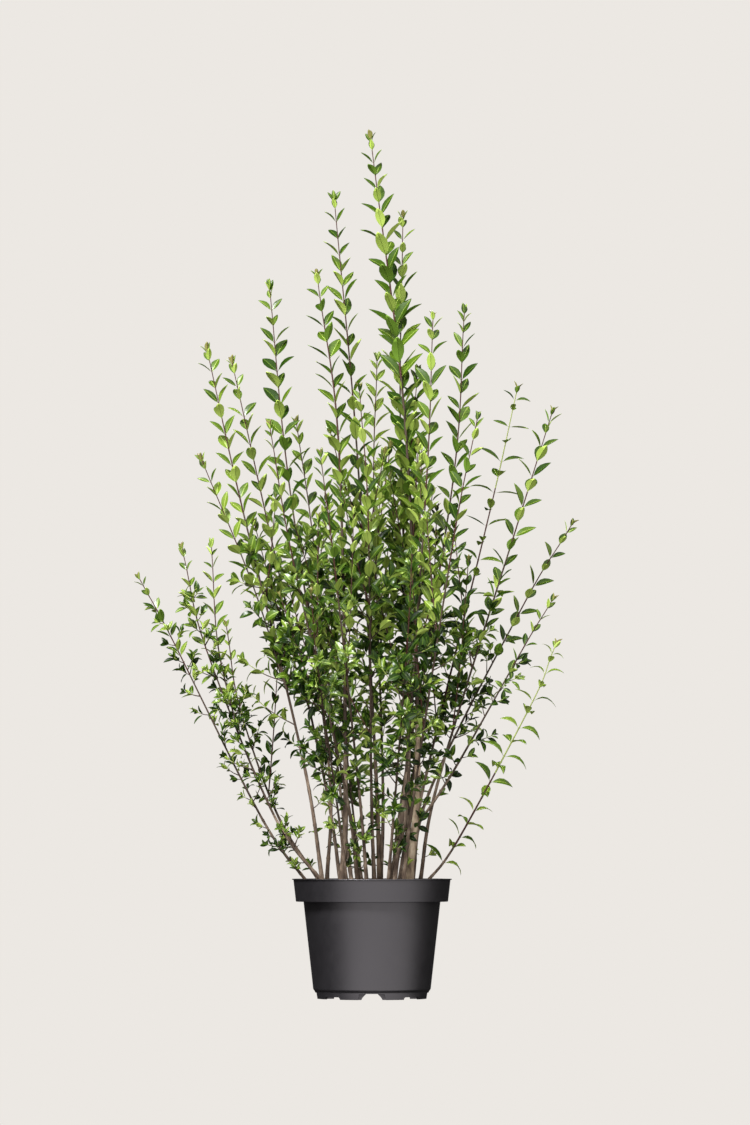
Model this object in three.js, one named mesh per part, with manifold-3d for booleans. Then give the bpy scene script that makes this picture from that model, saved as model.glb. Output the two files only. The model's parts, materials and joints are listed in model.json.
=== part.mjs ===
// A privet in its nursery pot: a clump of stems from one root, each carrying its own foliage mass.
// Millimetres, +Z up. The floor under the pot is z = 0, and x = 0, y = 0 is the middle of the plant's spread.
import * as THREE from 'three';
import { mergeVertices } from 'three/addons/utils/BufferGeometryUtils.js';
import Module from 'manifold-3d';

const wasm = await Module();
wasm.setup();

// Driving dimensions of the pot, measured from the pot's own axis
const POT_AXIS_X = 26; // the spread reaches further west than east of the pot
const SEGMENTS = 36; // facets round the pot
const WALL = 2;
const RIM_HEIGHT = 195.5;
const LIP_RADIUS = 131;
const LIP_THICKNESS = 1.6;
const COLLAR_TOP_RADIUS = 128.8;
const COLLAR_LOW_RADIUS = 124.7;
const LEDGE_HEIGHT = 158.3; // underside of the collar
const BODY_TOP_RADIUS = 112.2;
const BODY_LOW_RADIUS = 96.3;
const BODY_LOW_HEIGHT = 16;
const FOOT_TOP_RADIUS = 93.2;
const FOOT_TOP_HEIGHT = 11.5;
const FOOT_LOW_RADIUS = 91.8;
const FOOT_RING_WIDTH = 3.8;
const FOOT_BEVEL = 0.9;
const FLOOR_UNDERSIDE = 10;
const FLOOR_TOP = 12.5;

// Notches in the foot ring: four wide ones for drainage and four low ones between them
const WIDE_NOTCH = { width: 45, topWidth: 42, height: FLOOR_UNDERSIDE, turn: 0 };
const LOW_NOTCH = { width: 34, topWidth: 31, height: 4, turn: Math.PI / 4 };
const NOTCH_COUNT = 4;
const OVERRUN = 1; // how far a cut or a join passes the face it meets
const RIB = { inner: 62, outer: 84, base: 17, head: 9, side: 24 }; // walls beside each wide notch
const DRAIN_HOLE = { radius: 6, sides: 10, ring: 48 };

// Compost and the clearances between neighbouring pieces
const COMPOST_TOP = 184;
const GAP = 0.3;

// Shape of stems, twigs and leaves
const STEM_SIDES = 7;
const STEM_RING_STEP = 62;
const FLARE = { extra: 0.3, reach: 18, crowding: 1.6 }; // the swelling where a stem leaves the compost
const TWIG_SIDES = 3;
const LEVEL_ALONG_X = 0.7; // a limb that runs more along X than this has its rings set out from Y
const WHIP_RING_STEP = 95;
const WHIP_TIP_RADIUS = 0.9;
const TWIG_RADIUS = 1.1;
const LEAF = { length: 52, width: 24, thickness: 1.4, widest: 0.42, arch: 0.07 };
const LEAF_LEAN = THREE.MathUtils.degToRad(46);
const TWIG_LEAN = THREE.MathUtils.degToRad(52);
const LEAF_STEP = 58; // along a whip, from pair to pair
const TWIG_STEP = 52; // along the older wood, from side twig to side twig
const TWIG_LENGTH = 84;
const TWIG_RISE = 0.12; // how far a side twig's tip turns up
const TWIG_RING_STEP = 60;
const TWIG_LEAF_STEP = 26;
const TWIG_LEAF_SIZE = 0.95;
const SHORTER_TRIES = [1, 0.8, 0.6]; // shares of its size that a twig or leaf tries before it is skipped
const TWIG_LEAVES_FROM = 0.35; // share of a side twig that is bare
const UPPER_TWIG_LOSS = 0.35; // how much shorter the highest side twigs are
const GOLDEN_TURN = 2.4; // from side twig to side twig round the stem
const TIP_PAIR = { size: 0.62, lean: 0.45 }; // the closed pair at a shoot's tip, beside an open one
const FORK = { bend: 0.35, wood: 0.2, radius: 1.5 };
const SPREAD = { lean: 0.15, length: 0.25, turn: 0.3 }; // how much neighbours differ
const PAIR_TURN = Math.PI / 2; // each pair stands across the one below
const SPACE_MARGIN = 1; // how much nearer to its own stem than to any other a leaf stays
const ROUTE_STEP = 12;
const CLEAR_OF_RIM = 8; // height above the rim below which nothing grows
const SEED_RANGE = 1e6;
const SEED_STEP = 101; // from stem to stem
const SEEDS = { leader: 7, fork: 57, leaves: 500 };

// Stems: foot on the compost, knee, elbow and tip, as x, y and z from the pot's axis at floor level.
// The bough is bare up to bareTo, carries side twigs up to woodTo, and leaf pairs above that.
const STEMS = [
  { name: 'leader', foot: [59, -8], knee: [75, -8, 400], elbow: [55, 4, 940], tip: [0, 0, 1400],
    radius: 7.4, tipRadius: 3.6, bareTo: 455, woodTo: 700 },
  { name: 'partner', foot: [28, 24], knee: [61, 32, 380], elbow: [47, 42, 930], tip: [51, 34, 1274],
    radius: 4.2, tipRadius: 2.4, bareTo: 430, woodTo: 690 },
  { name: 'north_spire', foot: [13, -22], knee: [5, -8, 400], elbow: [-26, 22, 918], tip: [-61, 20, 1302],
    radius: 4.2, tipRadius: 2.6, bareTo: 410, woodTo: 720 },
  { name: 'west_spire', foot: [-49, -14], knee: [-43, -32, 360], elbow: [-54, -57, 896], tip: [-88, -50, 1168],
    radius: 5.3, tipRadius: 3.4, bareTo: 400, woodTo: 700 },
  { name: 'slim_spire', foot: [-74, 28], knee: [-72, 34, 390], elbow: [-140, 38, 870], tip: [-168, 30, 1155],
    radius: 3.2, tipRadius: 2.2, bareTo: 400, woodTo: 680 },
  { name: 'west_lean', foot: [-80, -4], knee: [-113, -16, 390], elbow: [-216, -30, 816], tip: [-267, -30, 1045],
    radius: 3.4, tipRadius: 2.3, bareTo: 420, woodTo: 690, fork: { at: 500, tip: [-272, -62, 864] } },
  { name: 'west_back', foot: [-51, 46], knee: [-80, 72, 365], elbow: [-179, 115, 809], tip: [-230, 115, 1038],
    radius: 3.2, tipRadius: 2.2, bareTo: 370, woodTo: 660 },
  { name: 'west_front', foot: [-22, -50], knee: [-43, -90, 340], elbow: [-128, -150, 712], tip: [-162, -158, 908],
    radius: 3.6, tipRadius: 2.2, bareTo: 356, woodTo: 624 },
  { name: 'rear_west', foot: [-33, 68], knee: [-55, 110, 360], elbow: [-99, 178, 763], tip: [-125, 182, 944],
    radius: 3.2, tipRadius: 2.2, bareTo: 365, woodTo: 640 },
  { name: 'front_west', foot: [-8, -78], knee: [-20, -126, 330], elbow: [-59, -226, 690], tip: [-80, -240, 856],
    radius: 3.2, tipRadius: 2.2, bareTo: 340, woodTo: 600 },
  { name: 'rear_mid', foot: [14, 74], knee: [18, 102, 360], elbow: [3, 156, 829], tip: [8, 160, 1050],
    radius: 3.6, tipRadius: 2.3, bareTo: 370, woodTo: 680 },
  { name: 'front_mid', foot: [4, -56], knee: [-1, -84, 345], elbow: [-6, -122, 777], tip: [-19, -126, 972],
    radius: 3.4, tipRadius: 2.3, bareTo: 350, woodTo: 640 },
  { name: 'east_front', foot: [36, -40], knee: [53, -62, 340], elbow: [89, -92, 844], tip: [99, -86, 1093],
    radius: 3.6, tipRadius: 2.4, bareTo: 370, woodTo: 680 },
  { name: 'east_back', foot: [33, 54], knee: [53, 66, 350], elbow: [135, 86, 857], tip: [153, 80, 1122],
    radius: 3.8, tipRadius: 2.4, bareTo: 380, woodTo: 680 },
  { name: 'east_low', foot: [50, -66], knee: [69, -108, 340], elbow: [134, -172, 757], tip: [167, -176, 922],
    radius: 3.2, tipRadius: 2.2, bareTo: 350, woodTo: 610 },
  { name: 'east_lean', foot: [54, 42], knee: [86, 76, 350], elbow: [200, 126, 820], tip: [239, 126, 994],
    radius: 3.2, tipRadius: 2.1, bareTo: 400, woodTo: 600 },
  { name: 'far_east', foot: [78, 14], knee: [110, 4, 360], elbow: [243, -18, 790], tip: [291, -20, 944],
    radius: 3.2, tipRadius: 2.1, bareTo: 420, woodTo: 580 },
  { name: 'east_wing', foot: [66, 72], knee: [96, 76, 341], elbow: [252, 58, 650], tip: [322, 46, 766],
    radius: 3, tipRadius: 2, bareTo: 400, woodTo: 560 },
  { name: 'side_branch', from: 'leader', knee: [136, -30, 376], elbow: [250, -64, 577], tip: [286, -70, 636],
    start: 276, radius: 2.4, tipRadius: 1.8, bareTo: 400, woodTo: 520 },
  { name: 'lone_shoot', foot: [84, -30], knee: [138, -42, 255], elbow: [262, -56, 484], tip: [293, -56, 560],
    radius: 2.3, tipRadius: 1.8, bareTo: 240, woodTo: 240 },
  { name: 'far_west', foot: [-102, 0], knee: [-181, 6, 295], elbow: [-330, 10, 591], tip: [-376, 8, 676],
    radius: 2.4, tipRadius: 1.9, bareTo: 300, woodTo: 560 },
  { name: 'low_west', foot: [-76, -36], knee: [-160, -60, 300], elbow: [-270, -84, 570], tip: [-306, -80, 718],
    radius: 2.8, tipRadius: 2, bareTo: 300, woodTo: 600, fork: { at: 430, tip: [-262, -40, 724] } },
  { name: 'low_west_back', foot: [-82, 44], knee: [-156, 66, 300], elbow: [-220, 92, 480], tip: [-240, 96, 600],
    radius: 2.6, tipRadius: 2, bareTo: 300, woodTo: 480 },
  { name: 'front_east', foot: [26, -92], knee: [37, -162, 323], elbow: [57, -280, 580], tip: [63, -300, 698],
    radius: 2.8, tipRadius: 2, bareTo: 300, woodTo: 540 },
  { name: 'front_low', foot: [-40, -82], knee: [-55, -134, 307], elbow: [-86, -256, 531], tip: [-95, -292, 632],
    radius: 2.6, tipRadius: 1.9, bareTo: 290, woodTo: 520 },
  { name: 'rear_east', foot: [44, 94], knee: [64, 160, 326], elbow: [99, 285, 634], tip: [109, 308, 762],
    radius: 2.8, tipRadius: 2, bareTo: 300, woodTo: 560 },
  { name: 'rear_low', foot: [-16, 96], knee: [-34, 165, 326], elbow: [-63, 290, 600], tip: [-75, 316, 714],
    radius: 2.6, tipRadius: 1.9, bareTo: 300, woodTo: 540 },
];

const DARK_PLASTIC = new THREE.MeshStandardMaterial({ color: 0x3c3a3c, roughness: 0.55, metalness: 0 });
const DARK_COMPOST = new THREE.MeshStandardMaterial({ color: 0x3a2a20, roughness: 1, metalness: 0 });
const GREY_BARK = new THREE.MeshStandardMaterial({ color: 0x7a6a58, roughness: 0.85, metalness: 0 });
const GREEN_LEAVES = new THREE.MeshStandardMaterial({ color: 0x4f7a2c, roughness: 0.5, metalness: 0 });

// Solids and meshes

function solidOf(geometry) {
  geometry.deleteAttribute('normal');
  geometry.deleteAttribute('uv');
  const merged = mergeVertices(geometry, 1e-4);
  return new wasm.Manifold(new wasm.Mesh({
    numProp: 3,
    vertProperties: merged.attributes.position.array,
    triVerts: new Uint32Array(merged.index.array),
  }));
}

function meshOf(name, solid, material) {
  const { vertProperties, triVerts } = solid.getMesh();
  const geometry = new THREE.BufferGeometry();
  geometry.setAttribute('position', new THREE.BufferAttribute(vertProperties, 3));
  geometry.setIndex(new THREE.BufferAttribute(triVerts, 1));
  geometry.computeVertexNormals();
  const mesh = new THREE.Mesh(geometry, material);
  mesh.name = name;
  return mesh;
}

// The largest body of a fused solid, without the scraps and sealed hollows that fusing may leave.
function mainBody(solid) {
  const bodies = solid.decompose();
  return bodies.reduce((best, body) => (body.volume() > best.volume() ? body : best));
}

function turned(profile) {
  const points = profile.map(([r, z]) => new THREE.Vector2(r, z));
  return solidOf(new THREE.LatheGeometry(points, SEGMENTS).rotateX(Math.PI / 2));
}

// Pot

function potBody() {
  return turned([
    [0, FLOOR_UNDERSIDE],
    [FOOT_LOW_RADIUS - FOOT_RING_WIDTH, FLOOR_UNDERSIDE],
    [FOOT_LOW_RADIUS - FOOT_RING_WIDTH, 0],
    [FOOT_LOW_RADIUS, 0],
    [FOOT_TOP_RADIUS, FOOT_TOP_HEIGHT],
    [BODY_LOW_RADIUS - FOOT_BEVEL, BODY_LOW_HEIGHT - 2 * FOOT_BEVEL],
    [BODY_LOW_RADIUS, BODY_LOW_HEIGHT],
    [BODY_TOP_RADIUS, LEDGE_HEIGHT],
    [COLLAR_LOW_RADIUS, LEDGE_HEIGHT],
    [COLLAR_TOP_RADIUS, RIM_HEIGHT - LIP_THICKNESS],
    [LIP_RADIUS, RIM_HEIGHT - LIP_THICKNESS],
    [LIP_RADIUS, RIM_HEIGHT],
    [COLLAR_TOP_RADIUS - WALL, RIM_HEIGHT],
    [COLLAR_LOW_RADIUS - WALL, LEDGE_HEIGHT + WALL],
    [BODY_TOP_RADIUS - WALL, LEDGE_HEIGHT + WALL],
    [BODY_LOW_RADIUS - WALL, BODY_LOW_HEIGHT],
    [FOOT_TOP_RADIUS - WALL, FLOOR_TOP],
    [0, FLOOR_TOP],
  ]);
}

// A bar with a trapezoid section, wider at the foot, that runs outwards along +X between two radii.
function radialBar(profile, inner, outer) {
  const shape = new THREE.Shape(profile.map(([y, z]) => new THREE.Vector2(y, z)));
  const bar = new THREE.ExtrudeGeometry(shape, { depth: outer - inner, bevelEnabled: false });
  return bar.rotateX(Math.PI / 2).rotateZ(Math.PI / 2).translate(inner, 0, 0);
}

function notchCutter({ width, topWidth, height }) {
  return radialBar([
    [-width / 2, -OVERRUN],
    [width / 2, -OVERRUN],
    [topWidth / 2, height],
    [-topWidth / 2, height],
  ], FOOT_LOW_RADIUS - FOOT_RING_WIDTH - 3 * OVERRUN, FOOT_TOP_RADIUS + 3 * OVERRUN);
}

function drainageRib(side) {
  const seat = FLOOR_UNDERSIDE + OVERRUN;
  return radialBar([
    [side * RIB.base, 0],
    [side * RIB.side, 0],
    [side * RIB.side, seat],
    [side * RIB.head, seat],
  ], RIB.inner, RIB.outer);
}

function pot() {
  let body = potBody();
  for (let quarter = 0; quarter < NOTCH_COUNT; quarter += 1) {
    const angle = (quarter * 2 * Math.PI) / NOTCH_COUNT;
    for (const notch of [WIDE_NOTCH, LOW_NOTCH]) {
      body = body.subtract(solidOf(notchCutter(notch).rotateZ(angle + notch.turn)));
    }
    for (const side of [-1, 1]) {
      body = body.add(solidOf(drainageRib(side).rotateZ(angle)));
    }
    const drill = new THREE.CylinderGeometry(DRAIN_HOLE.radius, DRAIN_HOLE.radius, 4 * WALL, DRAIN_HOLE.sides);
    drill.rotateX(Math.PI / 2).translate(DRAIN_HOLE.ring, 0, FLOOR_TOP);
    body = body.subtract(solidOf(drill.rotateZ(angle)));
  }
  return mainBody(body);
}

function compost() {
  const slope = (COLLAR_TOP_RADIUS - COLLAR_LOW_RADIUS) / (RIM_HEIGHT - LIP_THICKNESS - LEDGE_HEIGHT);
  const topRadius = COLLAR_LOW_RADIUS + slope * (COMPOST_TOP - LEDGE_HEIGHT - WALL);
  return turned([
    [0, FLOOR_TOP + GAP],
    [FOOT_TOP_RADIUS - WALL - GAP, FLOOR_TOP + GAP],
    [BODY_LOW_RADIUS - WALL - GAP, BODY_LOW_HEIGHT],
    [BODY_TOP_RADIUS - WALL - GAP, LEDGE_HEIGHT + WALL + GAP],
    [COLLAR_LOW_RADIUS - WALL - GAP, LEDGE_HEIGHT + WALL + GAP],
    [topRadius - WALL - GAP, COMPOST_TOP],
    [0, COMPOST_TOP],
  ]);
}

// Routes of the stems

const point = ([x, y, z]) => new THREE.Vector3(x, y, z);
const smooth = (points) => new THREE.CatmullRomCurve3(points.map(point), false, 'catmullrom', 0.5);

// How far along a rising curve, from 0 to 1, it reaches a height.
function reaches(curve, height) {
  let low = 0;
  let high = 1;
  for (let i = 0; i < 24; i += 1) {
    const middle = (low + high) / 2;
    if (curve.getPointAt(middle).z < height) low = middle;
    else high = middle;
  }
  return low;
}

function routeOf(stem) {
  const ground = COMPOST_TOP + GAP;
  if (!stem.from) return smooth([[...stem.foot, ground], stem.knee, stem.elbow, stem.tip]);
  const parent = routes.get(stem.from);
  const start = parent.getPointAt(reaches(parent, stem.start));
  return smooth([start.toArray(), stem.knee, stem.elbow, stem.tip]);
}

const routes = new Map();
for (const stem of STEMS) {
  routes.set(stem.name, routeOf(stem));
}

function forkRoute(stem) {
  const route = routes.get(stem.name);
  const at = reaches(route, stem.fork.at);
  const start = route.getPointAt(at);
  const lean = route.getTangentAt(at).multiplyScalar(stem.fork.tip[2] - stem.fork.at);
  const tip = point(stem.fork.tip);
  const bend = start.clone().lerp(tip, 0.5).lerp(start.clone().addScaledVector(lean, 0.5), FORK.bend);
  return smooth([start.toArray(), bend.toArray(), tip.toArray()]);
}

// Each stem's own space: the points that lie nearer to its route than to any other stem's.
const space = STEMS.map((stem) => {
  const lines = [routes.get(stem.name)];
  if (stem.fork) lines.push(forkRoute(stem));
  const marks = lines.flatMap((line) => line.getSpacedPoints(Math.ceil(line.getLength() / ROUTE_STEP)));
  return { name: stem.name, marks, girth: stem.radius };
});

function distanceTo(marks, spot) {
  return Math.sqrt(marks.reduce((least, mark) => Math.min(least, mark.distanceToSquared(spot)), Infinity));
}

function keepsToSpace(name, spots) {
  const own = space.find((entry) => entry.name === name);
  const others = space.filter((entry) => entry.name !== name);
  return spots.every((spot) => {
    const reach = distanceTo(own.marks, spot) + SPACE_MARGIN;
    return spot.z > RIM_HEIGHT + CLEAR_OF_RIM && others.every(({ marks, girth }) => {
      const away = distanceTo(marks, spot);
      return away > reach && away > girth + SPACE_MARGIN + ROUTE_STEP / 4;
    });
  });
}

// Limbs, twigs and leaves

// A closed body through rings of points that all hold the same number of corners.
function skinned(rings) {
  const sides = rings[0].length;
  const last = (rings.length - 1) * sides;
  const index = [];
  for (let start = 0; start < last; start += sides) {
    for (let i = 0; i < sides; i += 1) {
      const next = (i + 1) % sides;
      index.push(start + i, start + next, start + sides + i);
      index.push(start + next, start + sides + next, start + sides + i);
    }
  }
  for (let i = 1; i < sides - 1; i += 1) {
    index.push(0, i + 1, i, last, last + i, last + i + 1);
  }
  const geometry = new THREE.BufferGeometry().setFromPoints(rings.flat());
  return geometry.setIndex(index);
}

// A tapering limb along part of a curve, from one share of its length to another. All its rings are set
// out from one direction. A limb with a flat foot is cut level, and its rings crowd towards the foot.
function limb(curve, from, to, radiusAt, sides, ringStep, flatFoot) {
  const steps = Math.max(1, Math.round((curve.getLength() * (to - from)) / ringStep));
  const chord = curve.getPointAt(to).sub(curve.getPointAt(from)).normalize();
  const reference = Math.abs(chord.x) > LEVEL_ALONG_X ? new THREE.Vector3(0, 1, 0) : new THREE.Vector3(1, 0, 0);
  const rings = [];
  for (let i = 0; i <= steps; i += 1) {
    const share = flatFoot ? (i / steps) ** FLARE.crowding : i / steps;
    const at = from + (to - from) * share;
    const middle = curve.getPointAt(at);
    const ahead = curve.getTangentAt(at);
    const across = reference.clone().addScaledVector(ahead, -reference.dot(ahead)).normalize();
    const beside = new THREE.Vector3().crossVectors(ahead, across);
    const ring = Array.from({ length: sides }, (_, corner) => {
      const turn = (corner * 2 * Math.PI) / sides;
      const spot = middle.clone().addScaledVector(across, Math.cos(turn) * radiusAt(share));
      return spot.addScaledVector(beside, Math.sin(turn) * radiusAt(share));
    });
    if (flatFoot && i === 0) ring.forEach((spot) => spot.setZ(middle.z));
    rings.push(ring);
  }
  return solidOf(skinned(rings));
}

// Radius at a share of the bare length, with the swelling at the foot.
function boughRadius(stem, share) {
  const run = share * (stem.bareTo - COMPOST_TOP);
  const swelling = stem.from ? 0 : FLARE.extra * stem.radius * Math.exp(-run / FLARE.reach);
  return THREE.MathUtils.lerp(stem.radius, stem.tipRadius, share) + swelling;
}

function bough(stem) {
  const route = routes.get(stem.name);
  const end = reaches(route, stem.bareTo);
  const taper = (share) => boughRadius(stem, share);
  const solid = limb(route, 0, end, taper, STEM_SIDES, STEM_RING_STEP, !stem.from);
  if (!stem.from) return solid;
  const parent = STEMS.find((other) => other.name === stem.from);
  const parentRoute = routes.get(parent.name);
  const parentEnd = reaches(parentRoute, parent.bareTo);
  const widened = (share) => boughRadius(parent, share) + GAP;
  const cutter = limb(parentRoute, 0, parentEnd, widened, STEM_SIDES, STEM_RING_STEP, true);
  return mainBody(solid.subtract(cutter));
}

// One leaf as a pointed blade, flat above with a keel below, from its sunk root to its tip.
function leafAt(root, direction, upper, size) {
  const length = LEAF.length * size;
  const half = (LEAF.width * size) / 2;
  const widest = LEAF.widest * length;
  const arch = LEAF.arch * length;
  const corners = [
    [0, 0, 0],
    [widest, -half, arch],
    [widest, half, arch],
    [length, 0, 0],
    [widest, 0, arch - LEAF.thickness],
  ];
  const blade = new THREE.BufferGeometry().setFromPoints(corners.map(point));
  blade.setIndex([0, 1, 2, 1, 3, 2, 0, 2, 4, 2, 3, 4, 3, 1, 4, 1, 0, 4]);
  const side = new THREE.Vector3().crossVectors(upper, direction).normalize();
  const face = new THREE.Vector3().crossVectors(direction, side).normalize();
  const frame = new THREE.Matrix4().makeBasis(direction, side, face).setPosition(root);
  return blade.applyMatrix4(frame);
}

// Places on a leaf's outline and ridge at which it is tested, without its sunk root.
function cornersOf(blade) {
  const places = blade.attributes.position;
  const [root, left, right, tip, keel] = Array.from({ length: places.count }, (_, i) => (
    new THREE.Vector3().fromBufferAttribute(places, i)));
  const middle = (a, b) => a.clone().lerp(b, 0.5);
  return [left, right, tip, keel, middle(root, left), middle(root, right), middle(left, tip), middle(right, tip)];
}

// The direction that leans away from a shoot's axis at an angle, turned about the axis.
function leaning(ahead, turn, lean) {
  const across = new THREE.Vector3(1, 0, 0).addScaledVector(ahead, -ahead.x).normalize();
  across.applyAxisAngle(ahead, turn);
  return ahead.clone().multiplyScalar(Math.cos(lean)).addScaledVector(across, Math.sin(lean));
}

// A seeded sequence of numbers from 0 to 1, the same on every run.
function seeded(seed) {
  let state = seed;
  return () => {
    state = (Math.imul(state, 1664525) + 1013904223) >>> 0;
    return state / 4294967296;
  };
}

// One opposite pair of leaves on a shoot. A leaf that would leave the mass's space is smaller or left out.
function leafPair(name, curve, at, turn, size, lean, bunch) {
  const ahead = curve.getTangentAt(at);
  const root = curve.getPointAt(at);
  for (const half of [0, Math.PI]) {
    const direction = leaning(ahead, turn + half, lean);
    const blades = SHORTER_TRIES.map((share) => leafAt(root, direction, ahead, size * share));
    const kept = blades.find((blade) => keepsToSpace(name, cornersOf(blade)));
    if (kept) bunch.push(solidOf(kept));
  }
}

// A value that differs from shoot to shoot by up to a share of itself.
const about = (value, spread, draw) => value * (1 + spread * (2 * draw() - 1));

// Leaf pairs from one share of a shoot to its tip, each turned across the last.
function leafPairs(name, curve, from, step, size, draw, bunch) {
  const count = Math.max(1, Math.round((curve.getLength() * (1 - from)) / step));
  let turn = draw() * Math.PI;
  for (let i = 1; i < count; i += 1) {
    const share = from + ((1 - from) * i) / count;
    leafPair(name, curve, share, turn, size, about(LEAF_LEAN, SPREAD.lean, draw), bunch);
    turn += PAIR_TURN + SPREAD.turn * (2 * draw() - 1);
  }
  leafPair(name, curve, 0.998, turn, size * TIP_PAIR.size, LEAF_LEAN * TIP_PAIR.lean, bunch);
}

// A short curved shoot that leaves a stem, or nothing where it can't keep to the mass's space.
function sideShoot(name, start, direction, length) {
  for (const share of SHORTER_TRIES) {
    const reach = length * share;
    const bend = start.clone().addScaledVector(direction, reach / 2);
    const tip = start.clone().addScaledVector(direction, reach);
    tip.z += reach * TWIG_RISE;
    const twig = smooth([start.toArray(), bend.toArray(), tip.toArray()]);
    if (keepsToSpace(name, twig.getSpacedPoints(6).slice(2))) return twig;
  }
  return null;
}

// Side twigs on the older wood, each shorter the higher it stands, with its own leaves.
function sideTwigs(name, curve, from, to, draw, bunch) {
  const count = Math.round((curve.getLength() * (to - from)) / TWIG_STEP);
  let turn = draw() * 2 * Math.PI;
  for (let i = 0; i < count; i += 1) {
    const share = from + ((to - from) * (i + 0.5)) / count;
    const length = about(TWIG_LENGTH * (1 - (UPPER_TWIG_LOSS * i) / count), SPREAD.length, draw);
    const direction = leaning(curve.getTangentAt(share), turn, about(TWIG_LEAN, SPREAD.lean, draw));
    const leafDraw = seeded(Math.floor(draw() * SEED_RANGE));
    turn += GOLDEN_TURN + SPREAD.turn * (2 * draw() - 1);
    const twig = sideShoot(name, curve.getPointAt(share), direction, length);
    if (twig) {
      bunch.push(limb(twig, 0, 1, () => TWIG_RADIUS, TWIG_SIDES, TWIG_RING_STEP, false));
      leafPairs(name, twig, TWIG_LEAVES_FROM, TWIG_LEAF_STEP, TWIG_LEAF_SIZE, leafDraw, bunch);
    } else {
      leafPair(name, curve, share, turn, TWIG_LEAF_SIZE, LEAF_LEAN, bunch);
    }
  }
}

function whip(name, curve, from, wood, baseRadius, seed, bunch) {
  const taper = (share) => THREE.MathUtils.lerp(baseRadius, WHIP_TIP_RADIUS, share);
  const draw = seeded(seed);
  bunch.push(limb(curve, from, 1, taper, TWIG_SIDES, WHIP_RING_STEP, false));
  if (wood > from) sideTwigs(name, curve, from, wood, draw, bunch);
  leafPairs(name, curve, Math.max(from, wood), LEAF_STEP, 1, seeded(seed + SEEDS.leaves), bunch);
}

function foliage(stem, index) {
  const route = routes.get(stem.name);
  const start = reaches(route, stem.bareTo) + GAP / route.getLength();
  const wood = reaches(route, stem.woodTo);
  const bunch = [];
  whip(stem.name, route, start, wood, stem.tipRadius, SEED_STEP * index + SEEDS.leader, bunch);
  if (stem.fork) {
    whip(stem.name, forkRoute(stem), 0, FORK.wood, FORK.radius, SEED_STEP * index + SEEDS.fork, bunch);
  }
  return mainBody(bunch.reduce((whole, piece) => whole.add(piece)));
}

// Assembly about the pot's axis

const plant = new THREE.Group();
plant.position.x = POT_AXIS_X;
plant.add(meshOf('pot', pot(), DARK_PLASTIC));
plant.add(meshOf('compost', compost(), DARK_COMPOST));
STEMS.forEach((stem, index) => {
  plant.add(meshOf(`stem_${stem.name}`, bough(stem), GREY_BARK));
  plant.add(meshOf(`foliage_${stem.name}`, foliage(stem, index), GREEN_LEAVES));
});

const potted = new THREE.Group();
potted.add(plant);

export default potted;
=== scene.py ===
import json
import math

import bpy
import numpy as np
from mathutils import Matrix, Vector, noise

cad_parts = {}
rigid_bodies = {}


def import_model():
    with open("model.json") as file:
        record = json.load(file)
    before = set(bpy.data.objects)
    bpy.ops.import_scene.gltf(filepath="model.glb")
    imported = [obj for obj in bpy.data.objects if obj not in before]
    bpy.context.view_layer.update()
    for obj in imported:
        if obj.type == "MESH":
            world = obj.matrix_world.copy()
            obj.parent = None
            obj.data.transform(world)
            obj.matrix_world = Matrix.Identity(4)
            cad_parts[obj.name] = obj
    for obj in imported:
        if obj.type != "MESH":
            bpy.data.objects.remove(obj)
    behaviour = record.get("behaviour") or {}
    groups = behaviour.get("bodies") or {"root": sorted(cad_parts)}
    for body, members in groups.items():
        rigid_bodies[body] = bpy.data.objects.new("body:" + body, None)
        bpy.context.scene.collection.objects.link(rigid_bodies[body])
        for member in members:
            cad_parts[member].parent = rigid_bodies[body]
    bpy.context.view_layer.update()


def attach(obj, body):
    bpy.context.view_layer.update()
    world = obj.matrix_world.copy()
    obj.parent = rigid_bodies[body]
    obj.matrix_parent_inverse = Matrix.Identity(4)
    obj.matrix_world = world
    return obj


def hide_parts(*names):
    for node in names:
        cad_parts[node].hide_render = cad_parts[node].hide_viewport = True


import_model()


def added(name, data):
    """A new object in the scene."""
    thing = bpy.data.objects.new(name, data)
    bpy.context.scene.collection.objects.link(thing)
    return thing


def aimed(name, data, place, aim):
    """A camera or a light at a place in metres, facing another place."""
    thing = added(name, data)
    thing.location = place
    thing.rotation_euler = (Vector(aim) - Vector(place)).to_track_quat("-Z", "Y").to_euler()
    return thing


# Camera: at the height of the pot, eight metres in front, with a long lens
CAMERA_PLACE = (0.031, -8.0, 0.25)
CAMERA_AIM = (0.031, 0.0, 0.715)
CAMERA_LENS = 155.8
SENSOR = 36
FARTHEST_SEEN = 60

camera_data = bpy.data.cameras.new("camera")
camera_data.lens = CAMERA_LENS
camera_data.sensor_fit = "VERTICAL"
camera_data.sensor_height = SENSOR
camera_data.clip_end = FARTHEST_SEEN
bpy.context.scene.camera = aimed("camera", camera_data, CAMERA_PLACE, CAMERA_AIM)

# The pot and plant are set out in millimetres from the pot's axis at floor level, as in the part's source
POT_AXIS_X = 26
MM = 0.001

# Pot
POT_SEGMENTS = 144
WALL = 2
RIM_HEIGHT = 195.5
LIP_RADIUS = 131
LIP_THICKNESS = 1.6
COLLAR_TOP_RADIUS = 128.8
COLLAR_LOW_RADIUS = 124.7
LEDGE_HEIGHT = 158.3
BODY_TOP_RADIUS = 112.2
BODY_LOW_RADIUS = 96.3
BODY_LOW_HEIGHT = 16
FOOT_TOP_RADIUS = 93.2
FOOT_TOP_HEIGHT = 11.5
FOOT_LOW_RADIUS = 91.8
FOOT_RING_WIDTH = 3.8
FOOT_BEVEL = 0.9
FLOOR_UNDERSIDE = 10
FLOOR_TOP = 12.5
WIDE_NOTCH = {"width": 45, "top_width": 42, "height": FLOOR_UNDERSIDE - 0.05, "turn": 0.0}
LOW_NOTCH = {"width": 34, "top_width": 31, "height": 4, "turn": math.pi / 4}
NOTCH_COUNT = 4
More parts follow.
